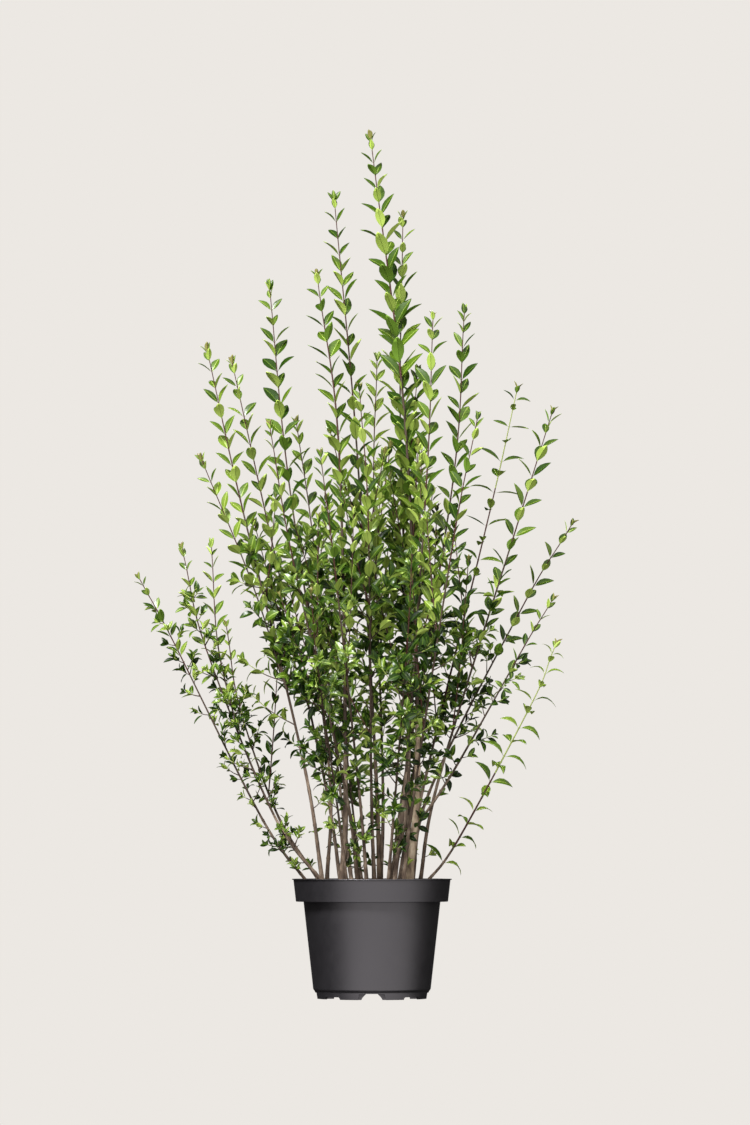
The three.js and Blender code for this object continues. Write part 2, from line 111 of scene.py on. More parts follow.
RIB = {"inner": 62, "outer": 84, "base": 17, "head": 9, "side": 24, "draw_in": 1.5,
       "bend": (3.5, 4), "rounding": 3, "sunk": 1.4}
DRAIN_HOLE = {"radius": 6, "sides": 32, "ring": 48}
CUT_PAST = 3  # how far a cut runs on past the plastic
NOTCH_BELOW = 2
NOTCH_ROUNDING = 2.2
POT_ARC_STEPS, CUT_ARC_STEPS = 5, 6  # the places on each rounded corner
SHARP_FROM = math.radians(32)

# Compost
COMPOST_TOP = 184
GAP = 0.3
COMPOST_RINGS = 74
COMPOST_SECTORS = 210
RING_SPREAD = 0.8  # below 1 the rings are closer together towards the edge
LEDGE_DROP = 0.01  # how much lower the inner ring of points on the ledge is
EDGE_FADE = 6  # how far from the wall, where the ground is level, it is as lumpy as elsewhere
LUMPS = {"size": 34, "height": 1.3, "layer": 3.1}
CLODS = {"size": 9, "height": 1.6, "layer": 7.7, "roughness": 0.8, "gap": 2.1, "octaves": 4}
MOUND = {"spread": 220, "height": 1.2, "most": 1.5}
MOST_UNEVEN = 3.6
CRUMBS = {"count": 620, "seed": 31, "clear": 6, "least": 1.1, "more": 2.2, "raised": 0.25,
          "least_corner": 0.8, "more_corner": 0.4}
CRUMB_STRETCH = (1, 0.8, 0.7)
CHIP_SHARE = 0.25
CHIP_STRETCH = (2.1, 0.9, 0.5)

# Limbs, twigs and leaves: the rule of the part's source
FLARE = {"extra": 0.3, "reach": 18}
WHIP_TIP_RADIUS = 0.7
TWIG_LEAN = math.radians(52)
TWIG_STEP = 52
TWIG_LENGTH = 84
TWIG_RISE = 0.12
SHORTER_TRIES = (1, 0.8, 0.6)
UPPER_TWIG_LOSS = 0.35
GOLDEN_TURN = 2.4
FORK = {"bend": 0.35, "wood": 0.2, "radius": 1.5}
SPREAD = {"lean": 0.15, "length": 0.25, "turn": 0.3}
PAIR_TURN = math.pi / 2
SPACE_MARGIN = 1
ROUTE_STEP = 12
CLEAR_OF_RIM = 8
SEED_RANGE = 1e6
SEED_STEP = 101
SEEDS = {"leader": 7, "fork": 57, "leaves": 500, "spurs": 900, "low": 1300, "bark": 1700, "shoots": 2100}

# The same rule carried on to life-size leaves and finer twigs
LEAF = {"length": 40.0, "aspect": 0.4, "lean": math.radians(40), "recurve": 0.07, "thickness": 0.5}
WHIP_NODES = {"step": 26.0, "first": 4.0, "growth": 8.0}
STOUT_NODES = {"step": 22.0, "first": 5.0, "growth": 8.0}
AIRY_NODES = {"step": 29.0, "first": 4.0, "growth": 7.0}
LONE_NODES = {"step": 25.0, "first": 4.0, "growth": 5.5}
SHOOT_NODES = {"step": 21.0, "first": 4.0, "growth": 5.0}
TWIG_NODES = {"step": 14.5, "first": 3.5, "growth": 5.0}
TOP_PAIR_DROP = 1.0  # how far below a shoot's tip its first pair stands
LEAST_GAP, MORE_GAP = 0.9, 0.2  # the least share of its step that a gap has, and what it may have more
TIP_RUN = 16  # how far the thin end of a whip runs on past its route
TIP_SIZES = (0.4, 0.48, 0.57, 0.67, 0.78, 0.88, 0.96)
STOUT_TIP_SIZES = (0.34, 0.4, 0.46, 0.53, 0.6, 0.68, 0.76, 0.85, 0.94)
NEWEST_LEANS = (0.35, 0.6, 0.85)
OVERLAP = 4  # how far a whip's wood starts inside the bough that carries it
LONE_BARE_TO = 204

# Sizes of leaves by height, and how much smaller those on twigs are far out
TWIG_LEAF_SIZES = ((210, 300, 480, 700, 860), (0.5, 0.62, 0.74, 0.84, 0.96))
SHOOT_LEAF_SIZES = ((480, 880), (0.7, 1.0))
OUTER_LEAF_LOSS = 0.12

# The full middle of the crown: how far it reaches out from the pot's axis at each height, and how it thins
# outside. Then the crown's whole reach across and in depth.
CORE = ((250, 390, 490, 590, 720, 850, 920, 1000), (100, 140, 165, 185, 215, 170, 120, 60))
THINNING = (0.85, 1.2)
CROWN_LOW, CROWN_HIGH = (-398, -342), (346, 332)

# Spurs: their chances are in the full crown, and outside it
SPURS = {"step": 16.0, "length": 38.0, "chances": (0.64, 0.16)}
WING_SPURS = {"step": 19.0, "length": 17.0, "chances": (0.62, 0.62)}
LOW_SPURS = {"step": 17.0, "length": 20.0, "chances": (0.66, 0.16)}
LOW_SPURS_FROM = COMPOST_TOP + 18
SPURS_BY_HEIGHT = ((210, 290, 480, 620), (1.3, 0.66, 0.84, 0.9))
SPUR_LEAN = math.radians(56)
SPUR_SPREAD = {"lean": 0.2, "length": 0.5}
SPUR_PLACE, SPUR_SHIFT = 0.3, 0.4  # where a spur stands in its share of the wood, and how far on at most
SPUR_TIP_SIZES = (0.66, 0.9)

# How far past the older wood spurs still grow, as a share of the whip
SPURS_PAST_WOOD = 0.06
WOOD_ENDS = {"far_west": 0.16, "low_west": 0.1, "side_branch": 0.1, "far_east": 0.1}

# Twigs
TWIG_TIP_SIZES = (0.5, 0.74, 0.92)
TWIG_BARE, SPUR_BARE = 14, 4  # how far a twig and a spur are bare from their foot
TWIG_ROOT_RADIUS = 1.15
TWIG_TIP_RADIUS = 0.55
SHORT_TWIG_GIRTH = 0.6  # the share of the root radius that the shortest twigs have
GIRTH_RUN = 150  # the length of twig that adds as much as the whole root radius
FEWEST_RINGS = {"twig": 4, "bough": 6, "whip": 8}
TWIG_RING_STEP = 9
TWIG_SIDES = 5
GREEN_FROM = 0.5  # the share of a twig from which its skin is green
TWIG_TESTS = np.linspace(0, 1, 7)[2:]  # where a twig has to be free of other limbs

# Leaves that last on the older wood
OLD_LEAF_CHANCES = ((460, 760), (0.06, 0.92))
OLD_LEAF = {"size": 0.9, "size_spread": 0.12, "step_spread": 0.15}

# Slender upright shoots inside the crown
SHOOT = {"count": 6, "size": 0.98, "length": 190.0, "lean": math.radians(24), "rise": 0.18, "radius": 1.3,
         "spacing": 62.0, "top": 940}
CLOSE_SHOOT = {"count": 3, "size": 1.04, "length": 240.0, "lean": math.radians(8), "rise": 0.02,
               "radius": 1.5, "spacing": 85.0, "top": 1150}
SHOOTS = {"leader": CLOSE_SHOOT, "partner": CLOSE_SHOOT}
SHOOTS_BELOW = 0.6  # the share of them that start below the top of the older wood
SHOOT_SHIFT = 1.2  # how far one starts past its place at most, in spacings
SHOOT_SPREAD = {"length": 0.35, "lean": 0.3}
SHOOT_REACH = 0.85  # at most this share of the whip above it
SHOOT_BARE = 14
SHOOT_SKIN = (0.6, 1.0, 1.5)
SHOOT_TESTS = np.linspace(0.2, 1, 9)  # where a shoot has to be free of other limbs

LONE = "lone_shoot"

# Each stem: its foot on the compost, three places on its route, its radius at the foot and where its leaves
# begin, and the heights up to which it is bare and its wood is older
STEM_MEASURES = ("name", "foot", "knee", "elbow", "tip", "radius", "tip_radius", "bare_to", "wood_to")
STEMS = [dict(zip(STEM_MEASURES, row)) for row in (
    ("leader", (59, -8), (75, -8, 400), (55, 4, 940), (0, 0, 1400), 7.4, 3.6, 455, 700),
    ("partner", (28, 24), (61, 32, 380), (47, 42, 930), (51, 34, 1274), 4.2, 2.4, 430, 690),
    ("north_spire", (13, -22), (5, -8, 400), (-26, 22, 918), (-61, 20, 1302), 4.2, 2.6, 410, 720),
    ("west_spire", (-49, -14), (-43, -32, 360), (-54, -57, 896), (-88, -50, 1168), 5.3, 3.4, 400, 700),
    ("slim_spire", (-74, 28), (-72, 34, 390), (-140, 38, 870), (-168, 30, 1155), 3.2, 2.2, 400, 680),
    ("west_lean", (-80, -4), (-113, -16, 390), (-216, -30, 816), (-267, -30, 1045), 3.4, 2.3, 420, 690),
    ("west_back", (-51, 46), (-80, 72, 365), (-179, 115, 809), (-230, 115, 1038), 3.2, 2.2, 370, 660),
    ("west_front", (-22, -50), (-43, -90, 340), (-128, -150, 712), (-162, -158, 908), 3.6, 2.2, 356, 624),
    ("rear_west", (-33, 68), (-55, 110, 360), (-99, 178, 763), (-125, 182, 944), 3.2, 2.2, 365, 640),
    ("front_west", (-8, -78), (-20, -126, 330), (-59, -226, 690), (-80, -240, 856), 3.2, 2.2, 340, 600),
    ("rear_mid", (14, 74), (18, 102, 360), (3, 156, 829), (8, 160, 1050), 3.6, 2.3, 370, 680),
    ("front_mid", (4, -56), (-1, -84, 345), (-6, -122, 777), (-19, -126, 972), 3.4, 2.3, 350, 640),
    ("east_front", (36, -40), (53, -62, 340), (89, -92, 844), (99, -86, 1093), 3.6, 2.4, 370, 680),
    ("east_back", (33, 54), (53, 66, 350), (135, 86, 857), (153, 80, 1122), 3.8, 2.4, 380, 680),
    ("east_low", (50, -66), (69, -108, 340), (134, -172, 757), (167, -176, 922), 3.2, 2.2, 350, 610),
    ("east_lean", (54, 42), (86, 76, 350), (200, 126, 820), (239, 126, 994), 3.2, 2.1, 400, 600),
    ("far_east", (78, 14), (110, 4, 360), (243, -18, 790), (291, -20, 944), 3.2, 2.1, 420, 580),
    ("east_wing", (66, 72), (96, 76, 341), (252, 58, 650), (322, 46, 766), 3.0, 2.0, 400, 560),
    ("side_branch", None, (136, -30, 376), (250, -64, 577), (286, -70, 636), 2.4, 1.8, 400, 520),
    (LONE, (84, -30), (138, -42, 255), (262, -56, 484), (293, -56, 560), 2.3, 1.8, 240, 240),
    ("far_west", (-102, 0), (-181, 6, 295), (-330, 10, 591), (-376, 8, 676), 2.4, 1.9, 300, 560),
    ("low_west", (-76, -36), (-160, -60, 300), (-270, -84, 570), (-306, -80, 718), 2.8, 2.0, 300, 600),
    ("low_west_back", (-82, 44), (-156, 66, 300), (-220, 92, 480), (-240, 96, 600), 2.6, 2.0, 300, 480),
    ("front_east", (26, -92), (37, -162, 323), (57, -280, 580), (63, -300, 698), 2.8, 2.0, 300, 540),
    ("front_low", (-40, -82), (-55, -134, 307), (-86, -256, 531), (-95, -292, 632), 2.6, 1.9, 290, 520),
    ("rear_east", (44, 94), (64, 160, 326), (99, 285, 634), (109, 308, 762), 2.8, 2.0, 300, 560),
    ("rear_low", (-16, 96), (-34, 165, 326), (-63, 290, 600), (-75, 316, 714), 2.6, 1.9, 300, 540),
)]
BRANCHES = {"side_branch": {"parent": "leader", "start": 276}}  # the stems that have no foot of their own
FORKS = {"west_lean": {"at": 500, "tip": (-272, -62, 864)}, "low_west": {"at": 430, "tip": (-262, -40, 724)}}


# Materials

def linear(*srgb):
    """A base colour from its red, green and blue out of 255, as a picture shows them."""
    shares = [value / 255 for value in srgb]
    return tuple(s / 12.92 if s <= 0.04045 else ((s + 0.055) / 1.055) ** 2.4 for s in shares) + (1.0,)


def coordinates(tree, stretch):
    """The place on the object, in metres, stretched along an axis where the pattern runs that way."""
    place = tree.nodes.new("ShaderNodeTexCoord")
    mapping = tree.nodes.new("ShaderNodeMapping")
    mapping.inputs["Scale"].default_value = stretch
    tree.links.new(place.outputs["Object"], mapping.inputs["Vector"])
    return mapping.outputs["Vector"]


def speckle(tree, scale, detail, stretch=(1, 1, 1)):
    texture = tree.nodes.new("ShaderNodeTexNoise")
    texture.inputs["Scale"].default_value = scale
    texture.inputs["Detail"].default_value = detail
    tree.links.new(coordinates(tree, stretch), texture.inputs["Vector"])
    return texture.outputs["Fac"]


def between(tree, value, low, high, start=0.3, end=0.7):
    """Maps a pattern's middle range onto two numbers."""
    spread = tree.nodes.new("ShaderNodeMapRange")
    spread.inputs["From Min"].default_value = start
    spread.inputs["From Max"].default_value = end
    spread.inputs["To Min"].default_value = low
    spread.inputs["To Max"].default_value = high
    tree.links.new(value, spread.inputs["Value"])
    return spread.outputs["Result"]


def painted(tree, shader, value, stops):
    """Colours a shader by a pattern, from stops of (place, colour)."""
    ramp = tree.nodes.new("ShaderNodeValToRGB")
    tree.links.new(value, ramp.inputs["Fac"])
    while len(ramp.color_ramp.elements) < len(stops):
        ramp.color_ramp.elements.new(0.5)
    for element, (place, srgb) in zip(ramp.color_ramp.elements, stops):
        element.position = place
        element.color = linear(*srgb)
    tree.links.new(ramp.outputs["Color"], shader.inputs["Base Color"])


def roughened(tree, shader, value, low, high):
    tree.links.new(between(tree, value, low, high), shader.inputs["Roughness"])


def raised(tree, shader, heights):
    """Adds relief to a shader from (pattern, strength, height in metres)."""
    normal = None
    for value, strength, height in heights:
        bump = tree.nodes.new("ShaderNodeBump")
        bump.inputs["Strength"].default_value = strength
        bump.inputs["Distance"].default_value = height
        tree.links.new(value, bump.inputs["Height"])
        if normal:
            tree.links.new(normal, bump.inputs["Normal"])
        normal = bump.outputs["Normal"]
    tree.links.new(normal, shader.inputs["Normal"])


def material(name, srgb, roughness, specular):
    made = bpy.data.materials.new(name)
    made.use_nodes = True
    tree = made.node_tree
    shader = tree.nodes["Principled BSDF"]
    shader.inputs["Base Color"].default_value = linear(*srgb)
    shader.inputs["Roughness"].default_value = roughness
    shader.inputs["Specular IOR Level"].default_value = specular
    made.diffuse_color = linear(*srgb)
    return made, tree, shader


def plastic():
    made, tree, shader = material("pot plastic", (23, 22, 24), 0.42, 0.85)
    shader.inputs["Specular Tint"].default_value = (0.97, 0.92, 1.0, 1)
    haze = speckle(tree, 9, 4, (1, 1, 0.35))
    painted(tree, shader, haze, [(0.3, (21, 20, 22)), (0.7, (26, 25, 27))])
    roughened(tree, shader, speckle(tree, 60, 5), 0.39, 0.45)
    raised(tree, shader, [(speckle(tree, 1400, 2), 0.25, 0.0002), (speckle(tree, 45, 3), 0.05, 0.0004)])
    return made


def earth():
    made, tree, shader = material("compost", (52, 38, 28), 0.95, 0.2)
    clods = speckle(tree, 260, 6)
    painted(tree, shader, clods, [(0.3, (30, 22, 16)), (0.5, (56, 40, 28)), (0.72, (98, 74, 50))])
    raised(tree, shader, [(clods, 0.7, 0.0012), (speckle(tree, 900, 4), 0.5, 0.0004)])
    return made


def chip():
    made, tree, shader = material("bark chips", (104, 74, 48), 0.85, 0.25)
    grain = speckle(tree, 420, 4, (1, 1, 3))
    painted(tree, shader, grain, [(0.3, (62, 42, 28)), (0.7, (130, 98, 66))])
    raised(tree, shader, [(grain, 0.5, 0.0005)])
    return made


STREAK_SHARE, PATCH_SHARE = 0.6, 0.4  # how much of a bark's pattern is streaks, and how much patches


def bark(name, dark, middle, pale):
    made, tree, shader = material(name, middle, 0.8, 0.3)
    streaks = speckle(tree, 240, 6, (1, 1, 0.22))
    patches = speckle(tree, 60, 3, (1, 1, 0.5))
    mixed = tree.nodes.new("ShaderNodeMath")
    mixed.operation = "MULTIPLY_ADD"
    mixed.inputs[1].default_value = STREAK_SHARE
    tree.links.new(streaks, mixed.inputs[0])
    tree.links.new(between(tree, patches, 0.0, PATCH_SHARE), mixed.inputs[2])
    painted(tree, shader, mixed.outputs[0], [(0.28, dark), (0.5, middle), (0.74, pale)])
    roughened(tree, shader, streaks, 0.7, 0.92)
    lenticels = tree.nodes.new("ShaderNodeTexVoronoi")
    lenticels.inputs["Scale"].default_value = 150
    tree.links.new(coordinates(tree, (1, 1, 1.8)), lenticels.inputs["Vector"])
    warts = between(tree, lenticels.outputs["Distance"], 1.0, 0.0, 0.08, 0.2)
    raised(tree, shader, [(streaks, 0.6, 0.0007), (warts, 0.5, 0.0005)])
    return made


def shoot_skin(name, colour, roughness):
    """Young bark: one plain colour with a fine grain along the shoot."""
    made, tree, shader = material(name, colour, roughness, 0.25)
    grain = speckle(tree, 500, 3, (1, 1, 0.3))
    roughened(tree, shader, grain, roughness - 0.08, roughness + 0.08)
    raised(tree, shader, [(grain, 0.35, 0.0003)])
    return made


def blade(name, colour, gloss, specular, relief):
    """A leaf's face: one plain colour, with gloss and a puckered relief that vary over it."""
    made, tree, shader = material(name, colour, gloss, specular)
    puckers = speckle(tree, 150, 2)
    roughened(tree, shader, puckers, gloss - 0.05, gloss + 0.06)
    raised(tree, shader, [(puckers, relief, 0.0005)])
    return made


# Base colours of the leaves: upper face, midrib, underside. The underside is paler partly by its own colour
# and partly by painted light, standing in for light shining through the leaf.
TINTS = {
    "dark": ((12, 28, 2), (36, 54, 10), (52, 74, 18)),
    "deep": ((26, 47, 4), (60, 82, 18), (88, 117, 36)),
    "green": ((41, 62, 7), (88, 107, 34), (139, 161, 68)),
    "leafy": ((62, 84, 15), (114, 132, 54), (153, 174, 79)),
    "fresh": ((88, 109, 30), (134, 150, 74), (158, 179, 86)),
    "young": ((94, 112, 34), (136, 151, 76), (160, 178, 86)),
    "ruddy": ((80, 74, 32), (108, 98, 50), (108, 108, 54)),
}
# The parts of a leaf's skin, each with its roughness and relief
LEAF_FACES = (("upper face", 0.3, 0.07), ("midrib", 0.5, 0.06), ("underside", 0.58, 0.07))
LEAF_SHINE = {"dark": 0.16, "deep": 0.22, "green": 0.34}  # the others have LIGHT_LEAF_SHINE
LIGHT_LEAF_SHINE = 0.42


# Meshes from arrays

NO_COLUMN = -1  # for points that are in none of a leaf's columns


class Pile:
    """Gathers the points and faces of many small closed bodies that become one piece."""

    def __init__(self):
        self.points, self.corners, self.sizes, self.slots, self.smooth, self.columns = [], [], [], [], [], []
        self.count = 0

    def add(self, points, corners, sizes, slots, smooth, columns=None):
        self.points.append(points)
        self.corners.append(np.asarray(corners) + self.count)
        self.sizes.append(np.asarray(sizes))
        self.slots.append(np.asarray(slots))
        self.smooth.append(np.asarray(smooth, bool))
        self.columns.append(np.full(len(points), NO_COLUMN) if columns is None else columns)
        self.count += len(points)

    def piece(self, name, materials, slot, nodes, creased=()):
        """Makes the mesh. Edges that run along a creased column of points stay sharp."""
        points = np.concatenate(self.points)
        points = (points + [POT_AXIS_X, 0, 0]) * MM
        corners = np.concatenate(self.corners).astype(np.int32)
        sizes = np.concatenate(self.sizes).astype(np.int32)
        mesh = bpy.data.meshes.new(name)
        mesh.vertices.add(len(points))
        mesh.vertices.foreach_set("co", points.astype(np.float32).ravel())
        mesh.loops.add(len(corners))
        mesh.loops.foreach_set("vertex_index", corners)
        mesh.polygons.add(len(sizes))
        mesh.polygons.foreach_set("loop_start", np.concatenate([[0], np.cumsum(sizes)[:-1]]).astype(np.int32))
        mesh.polygons.foreach_set("material_index", np.concatenate(self.slots).astype(np.int32))
        mesh.polygons.foreach_set("use_smooth", np.concatenate(self.smooth))
        for one in materials:
            mesh.materials.append(one)
        mesh.update(calc_edges=True)
        if creased:
            columns = np.concatenate(self.columns)
            ends = np.zeros(len(mesh.edges) * 2, np.int32)
            mesh.edges.foreach_get("vertices", ends)
            first, last = columns[ends[0::2]], columns[ends[1::2]]
            sharp = (first == last) & np.isin(first, creased)
            mesh.attributes.new("sharp_edge", "BOOLEAN", "EDGE").data.foreach_set("value", sharp)
        placed(name, mesh, nodes)


def placed(name, mesh, nodes):
    piece = added(name, mesh)
    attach(piece, "root")
    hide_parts(*nodes)


# Routes of the stems

def unit(vector):
    return vector / np.linalg.norm(vector)


class Route:
    """A smooth line through points, read by the share of its length."""

    DIVISIONS = 200
    HALVINGS = 24
    NUDGE = 0.0005
    NEAR_END = 0.999

    def __init__(self, points):
        points = np.array(points, float)
        self.tip = points[-1]
        before = 2 * points[0] - points[1]
        after = 2 * points[-1] - points[-2]
        self.knots = np.vstack([before, points, after])
        self.spans = len(points) - 1
        self.shares = np.linspace(0, 1, self.DIVISIONS + 1)
        marks = self.by_knot(self.shares)
        steps = np.linalg.norm(np.diff(marks, axis=0), axis=1)
        self.run = np.concatenate([[0], np.cumsum(steps)])
        self.length = self.run[-1]

    def by_knot(self, shares):
        place = np.clip(np.asarray(shares, float), 0, 1) * self.spans
        span = np.minimum(place.astype(int), self.spans - 1)
        t = (place - span)[..., None]
        p0, p1, p2, p3 = (self.knots[span + i] for i in range(4))
        out, back = 0.5 * (p2 - p0), 0.5 * (p3 - p1)
        return p1 + out * t + (3 * (p2 - p1) - 2 * out - back) * t**2 + (2 * (p1 - p2) + out + back) * t**3

    def at(self, share):
        """The point at a share of the length. Past its end the line runs straight on."""
        share = np.asarray(share, float)
        point = self.by_knot(np.interp(share * self.length, self.run, self.shares))
        beyond = np.maximum(share - 1, 0) * self.length
        return point + beyond[..., None] * unit(self.by_knot(1) - self.by_knot(self.NEAR_END))

    def ahead(self, share):
        share = np.clip(share, 0, 1)
        step = self.at(np.minimum(share + self.NUDGE, 1)) - self.at(np.maximum(share - self.NUDGE, 0))
        return step / np.linalg.norm(step, axis=-1, keepdims=True)

    def reaches(self, height):
        low, high = 0.0, 1.0
        for _ in range(self.HALVINGS):
            middle = (low + high) / 2
            if self.at(middle)[2] < height:
                low = middle
            else:
                high = middle
        return low


def route_of(stem):
    if stem["foot"]:
        root = (*stem["foot"], COMPOST_TOP + GAP)
    else:
        branch = BRANCHES[stem["name"]]
        parent = routes[branch["parent"]]
        root = parent.at(parent.reaches(branch["start"]))
    return Route([root, stem["knee"], stem["elbow"], stem["tip"]])


routes = {}
for stem in STEMS:
    routes[stem["name"]] = route_of(stem)


def fork_route(name):
    route, fork = routes[name], FORKS[name]
    at = route.reaches(fork["at"])
    start, tip = route.at(at), np.array(fork["tip"], float)
    lean = route.ahead(at) * (tip[2] - fork["at"])
    bend = (start + tip) / 2 * (1 - FORK["bend"]) + (start + lean / 2) * FORK["bend"]
    return Route([start, bend, tip])


# Each stem's own space: the places that lie nearer to its route than to any other stem's
marks, owners, girths = [], [], []
for number, stem in enumerate(STEMS):
    lines = [routes[stem["name"]]] + ([fork_route(stem["name"])] if stem["name"] in FORKS else [])
    for line in lines:
        spaced = line.at(np.linspace(0, 1, math.ceil(line.length / ROUTE_STEP) + 1))
        marks.append(spaced)
        owners.append(np.full(len(spaced), number))
        girths.append(np.full(len(spaced), stem["radius"]))
marks, owners, girths = np.concatenate(marks), np.concatenate(owners), np.concatenate(girths)
MARK_SLACK = ROUTE_STEP / 4  # a limb between two of its marks may be this much nearer than they are
LOWEST_GROWTH = RIM_HEIGHT + CLEAR_OF_RIM
UPPER_WOOD = 0.7  # the share of a limb's full radius that finer growth keeps clear of


def keeps_to_space(number, spots):
    """Tells whether all the spots are in a stem's own space and clear of the other stems' wood."""
    away = np.linalg.norm(spots[:, None] - marks[None], axis=2)
    own = away[:, owners == number].min(axis=1) + SPACE_MARGIN
    others = away[:, owners != number]
    clear = (others > girths[owners != number] + SPACE_MARGIN + MARK_SLACK).all()
    return clear and (others.min(axis=1) > own).all() and (spots[:, 2] > LOWEST_GROWTH).all()


def clear_of_limbs(number, spots):
    """Finer growth may reach in among its neighbours, but not through their wood."""
    other = owners != number
    away = np.linalg.norm(spots[:, None] - marks[None, other], axis=2)
    flat = spots[:, :2]
    inside = (flat > CROWN_LOW).all() and (flat < CROWN_HIGH).all() and (spots[:, 2] > LOWEST_GROWTH).all()
    return inside and (away > girths[other] * UPPER_WOOD + SPACE_MARGIN + MARK_SLACK).all()


DRAW_FACTOR, DRAW_STEP, DRAW_RANGE = 1664525, 1013904223, 2**32


def seeded(seed):
    """A seeded sequence of numbers from 0 to 1, the same as the part's source draws."""
    state = int(seed)
    while True:
        state = (state * DRAW_FACTOR + DRAW_STEP) % DRAW_RANGE
        yield state / DRAW_RANGE


def swing(most, draw):
    """A number from -most to most."""
    return most * (2 * next(draw) - 1)


def about(value, spread, draw):
    """A number near a value, at most a share of it away."""
    return value * (1 + swing(spread, draw))


def turned(vector, axis, angle):
    """A vector turned about an axis."""
    return (vector * math.cos(angle) + np.cross(axis, vector) * math.sin(angle)
            + axis * np.dot(axis, vector) * (1 - math.cos(angle)))


def leaning(ahead, turn, lean):
    """The direction that leans away from a shoot's axis at an angle, turned about the axis."""
    across = unit(np.array([1.0, 0, 0]) - ahead * ahead[0])
    return ahead * math.cos(lean) + turned(across, ahead, turn) * math.sin(lean)


# Tubes

LEVEL_ALONG_X = 0.7  # a limb that runs more along X than this has its rings set out from Y


def round_angles(count):
    return np.arange(count) * 2 * np.pi / count


def ring_quads(rings, sides):
    """The numbers of the points of stacked rings, and the corners of the faces between the rings."""
    index = np.arange(rings * sides).reshape(rings, sides)
    low, high = index[:-1], index[1:]
    return index, np.stack([low, np.roll(low, -1, 1), np.roll(high, -1, 1), high], axis=-1).reshape(-1, 4)


def tube(pile, middles, radii, sides, slots, flat_foot=False):
    """A closed limb through points. Radii hold one number a ring, or one for every corner of each ring."""
    middles = np.asarray(middles, float)
    rings = len(middles)
    ahead = np.gradient(middles, axis=0)
    ahead /= np.linalg.norm(ahead, axis=1, keepdims=True)
    chord = unit(middles[-1] - middles[0])
    reference = np.array([0.0, 1, 0]) if abs(chord[0]) > LEVEL_ALONG_X else np.array([1.0, 0, 0])
    across = reference - ahead * (ahead @ reference)[:, None]
    across /= np.linalg.norm(across, axis=1, keepdims=True)
    beside = np.cross(ahead, across)
    angles = round_angles(sides)[None, :, None]
    radii = np.broadcast_to(np.asarray(radii, float).reshape(rings, -1), (rings, sides))[..., None]
    points = middles[:, None] + radii * (np.cos(angles) * across[:, None] + np.sin(angles) * beside[:, None])
    if flat_foot:
        points[0, :, 2] = middles[0, 2]
    index, quads = ring_quads(rings, sides)
    corners = np.concatenate([quads.ravel(), index[0][::-1], index[-1]])
    sizes = np.concatenate([np.full(len(quads), 4), [sides, sides]])
    per_ring = np.broadcast_to(slots, (rings - 1,))
    slot_list = np.concatenate([np.repeat(per_ring, sides), [per_ring[0], per_ring[-1]]])
    smooth = np.concatenate([np.ones(len(quads)), [0, 0]])
    pile.add(points.reshape(-1, 3), corners, sizes, slot_list, smooth)


# Leaves

LEAF_ROWS = np.array([0.0, 0.08, 0.2, 0.36, 0.56, 0.75, 0.9])  # along the leaf, before its tip
LEAF_HALF_WIDTHS = np.array([0.05, 0.07, 0.56, 0.93, 1.0, 0.74, 0.36])
LEAF_COLUMNS = 8
LEAF_CREASES = (0, 5, 6, 7)  # the columns of points at the leaf's edges and beside the vein below
UPPER, MIDRIB, UNDER = 0, 1, 2


def leaf_faces():
    """Corners, sizes and slots of one leaf's faces: five strips above, three below, a tip and a foot."""
    rows = len(LEAF_ROWS)
    tip = rows * LEAF_COLUMNS
    strips = [UPPER, UPPER, MIDRIB, UPPER, UPPER, UNDER, MIDRIB, UNDER]
    corners, sizes, slots = [], [], []
    for row in range(rows):
        for column, kind in enumerate(strips):
            following = (column + 1) % LEAF_COLUMNS
            here = row * LEAF_COLUMNS
            if row + 1 < rows:
                above = here + LEAF_COLUMNS
                corners += [here + column, above + column, above + following, here + following]
                sizes.append(4)
            else:
                corners += [here + column, tip, here + following]
                sizes.append(3)
            slots.append(kind)
    corners += list(range(LEAF_COLUMNS))
    return np.array(corners), np.array(sizes + [LEAF_COLUMNS]), np.array(slots + [UNDER])


LEAF_CORNERS, LEAF_SIZES, LEAF_SLOTS = leaf_faces()
MOST_LEAVES = 1750  # in one piece
LEAF_TESTS = ((0.45, -1), (0.45, 1), (0.75, 0), (1, 0))  # along and across a leaf, where it has to be free

# A leaf's section, in shares of its half width where nothing else is said
SHOULDER = 0.55  # where the upper face swells most
RIB_SHARE, RIB_MOST = 0.4, 0.65  # the midrib's half width, and the most that it is in millimetres
VEIN = 0.7  # the vein below, as a share of the midrib
SWELL, BODY_SWELL = 0.05, 0.2  # the swelling's height, and what it has more as a share of the thickness
NARROW = 1.2  # the half width in millimetres below which a leaf gets thinner
SWELLING = np.array([0, 1, 0, 0, 1, 0, 0, 0])  # the columns of points that are raised
BELOW = np.array([0, 0, 0, 0, 0, 0, 1, 1])  # and those that are on the underside

ARCH = 0.35  # how a leaf rises before it bends down
DRAWN_IN = 0.5  # how much less far it reaches as it bends down


def leaf_outline(root, direction, upper, length, width):
    side = unit(np.cross(upper, direction))
    return np.array([root + direction * length * along + side * width / 2 * across
                     for along, across in LEAF_TESTS])


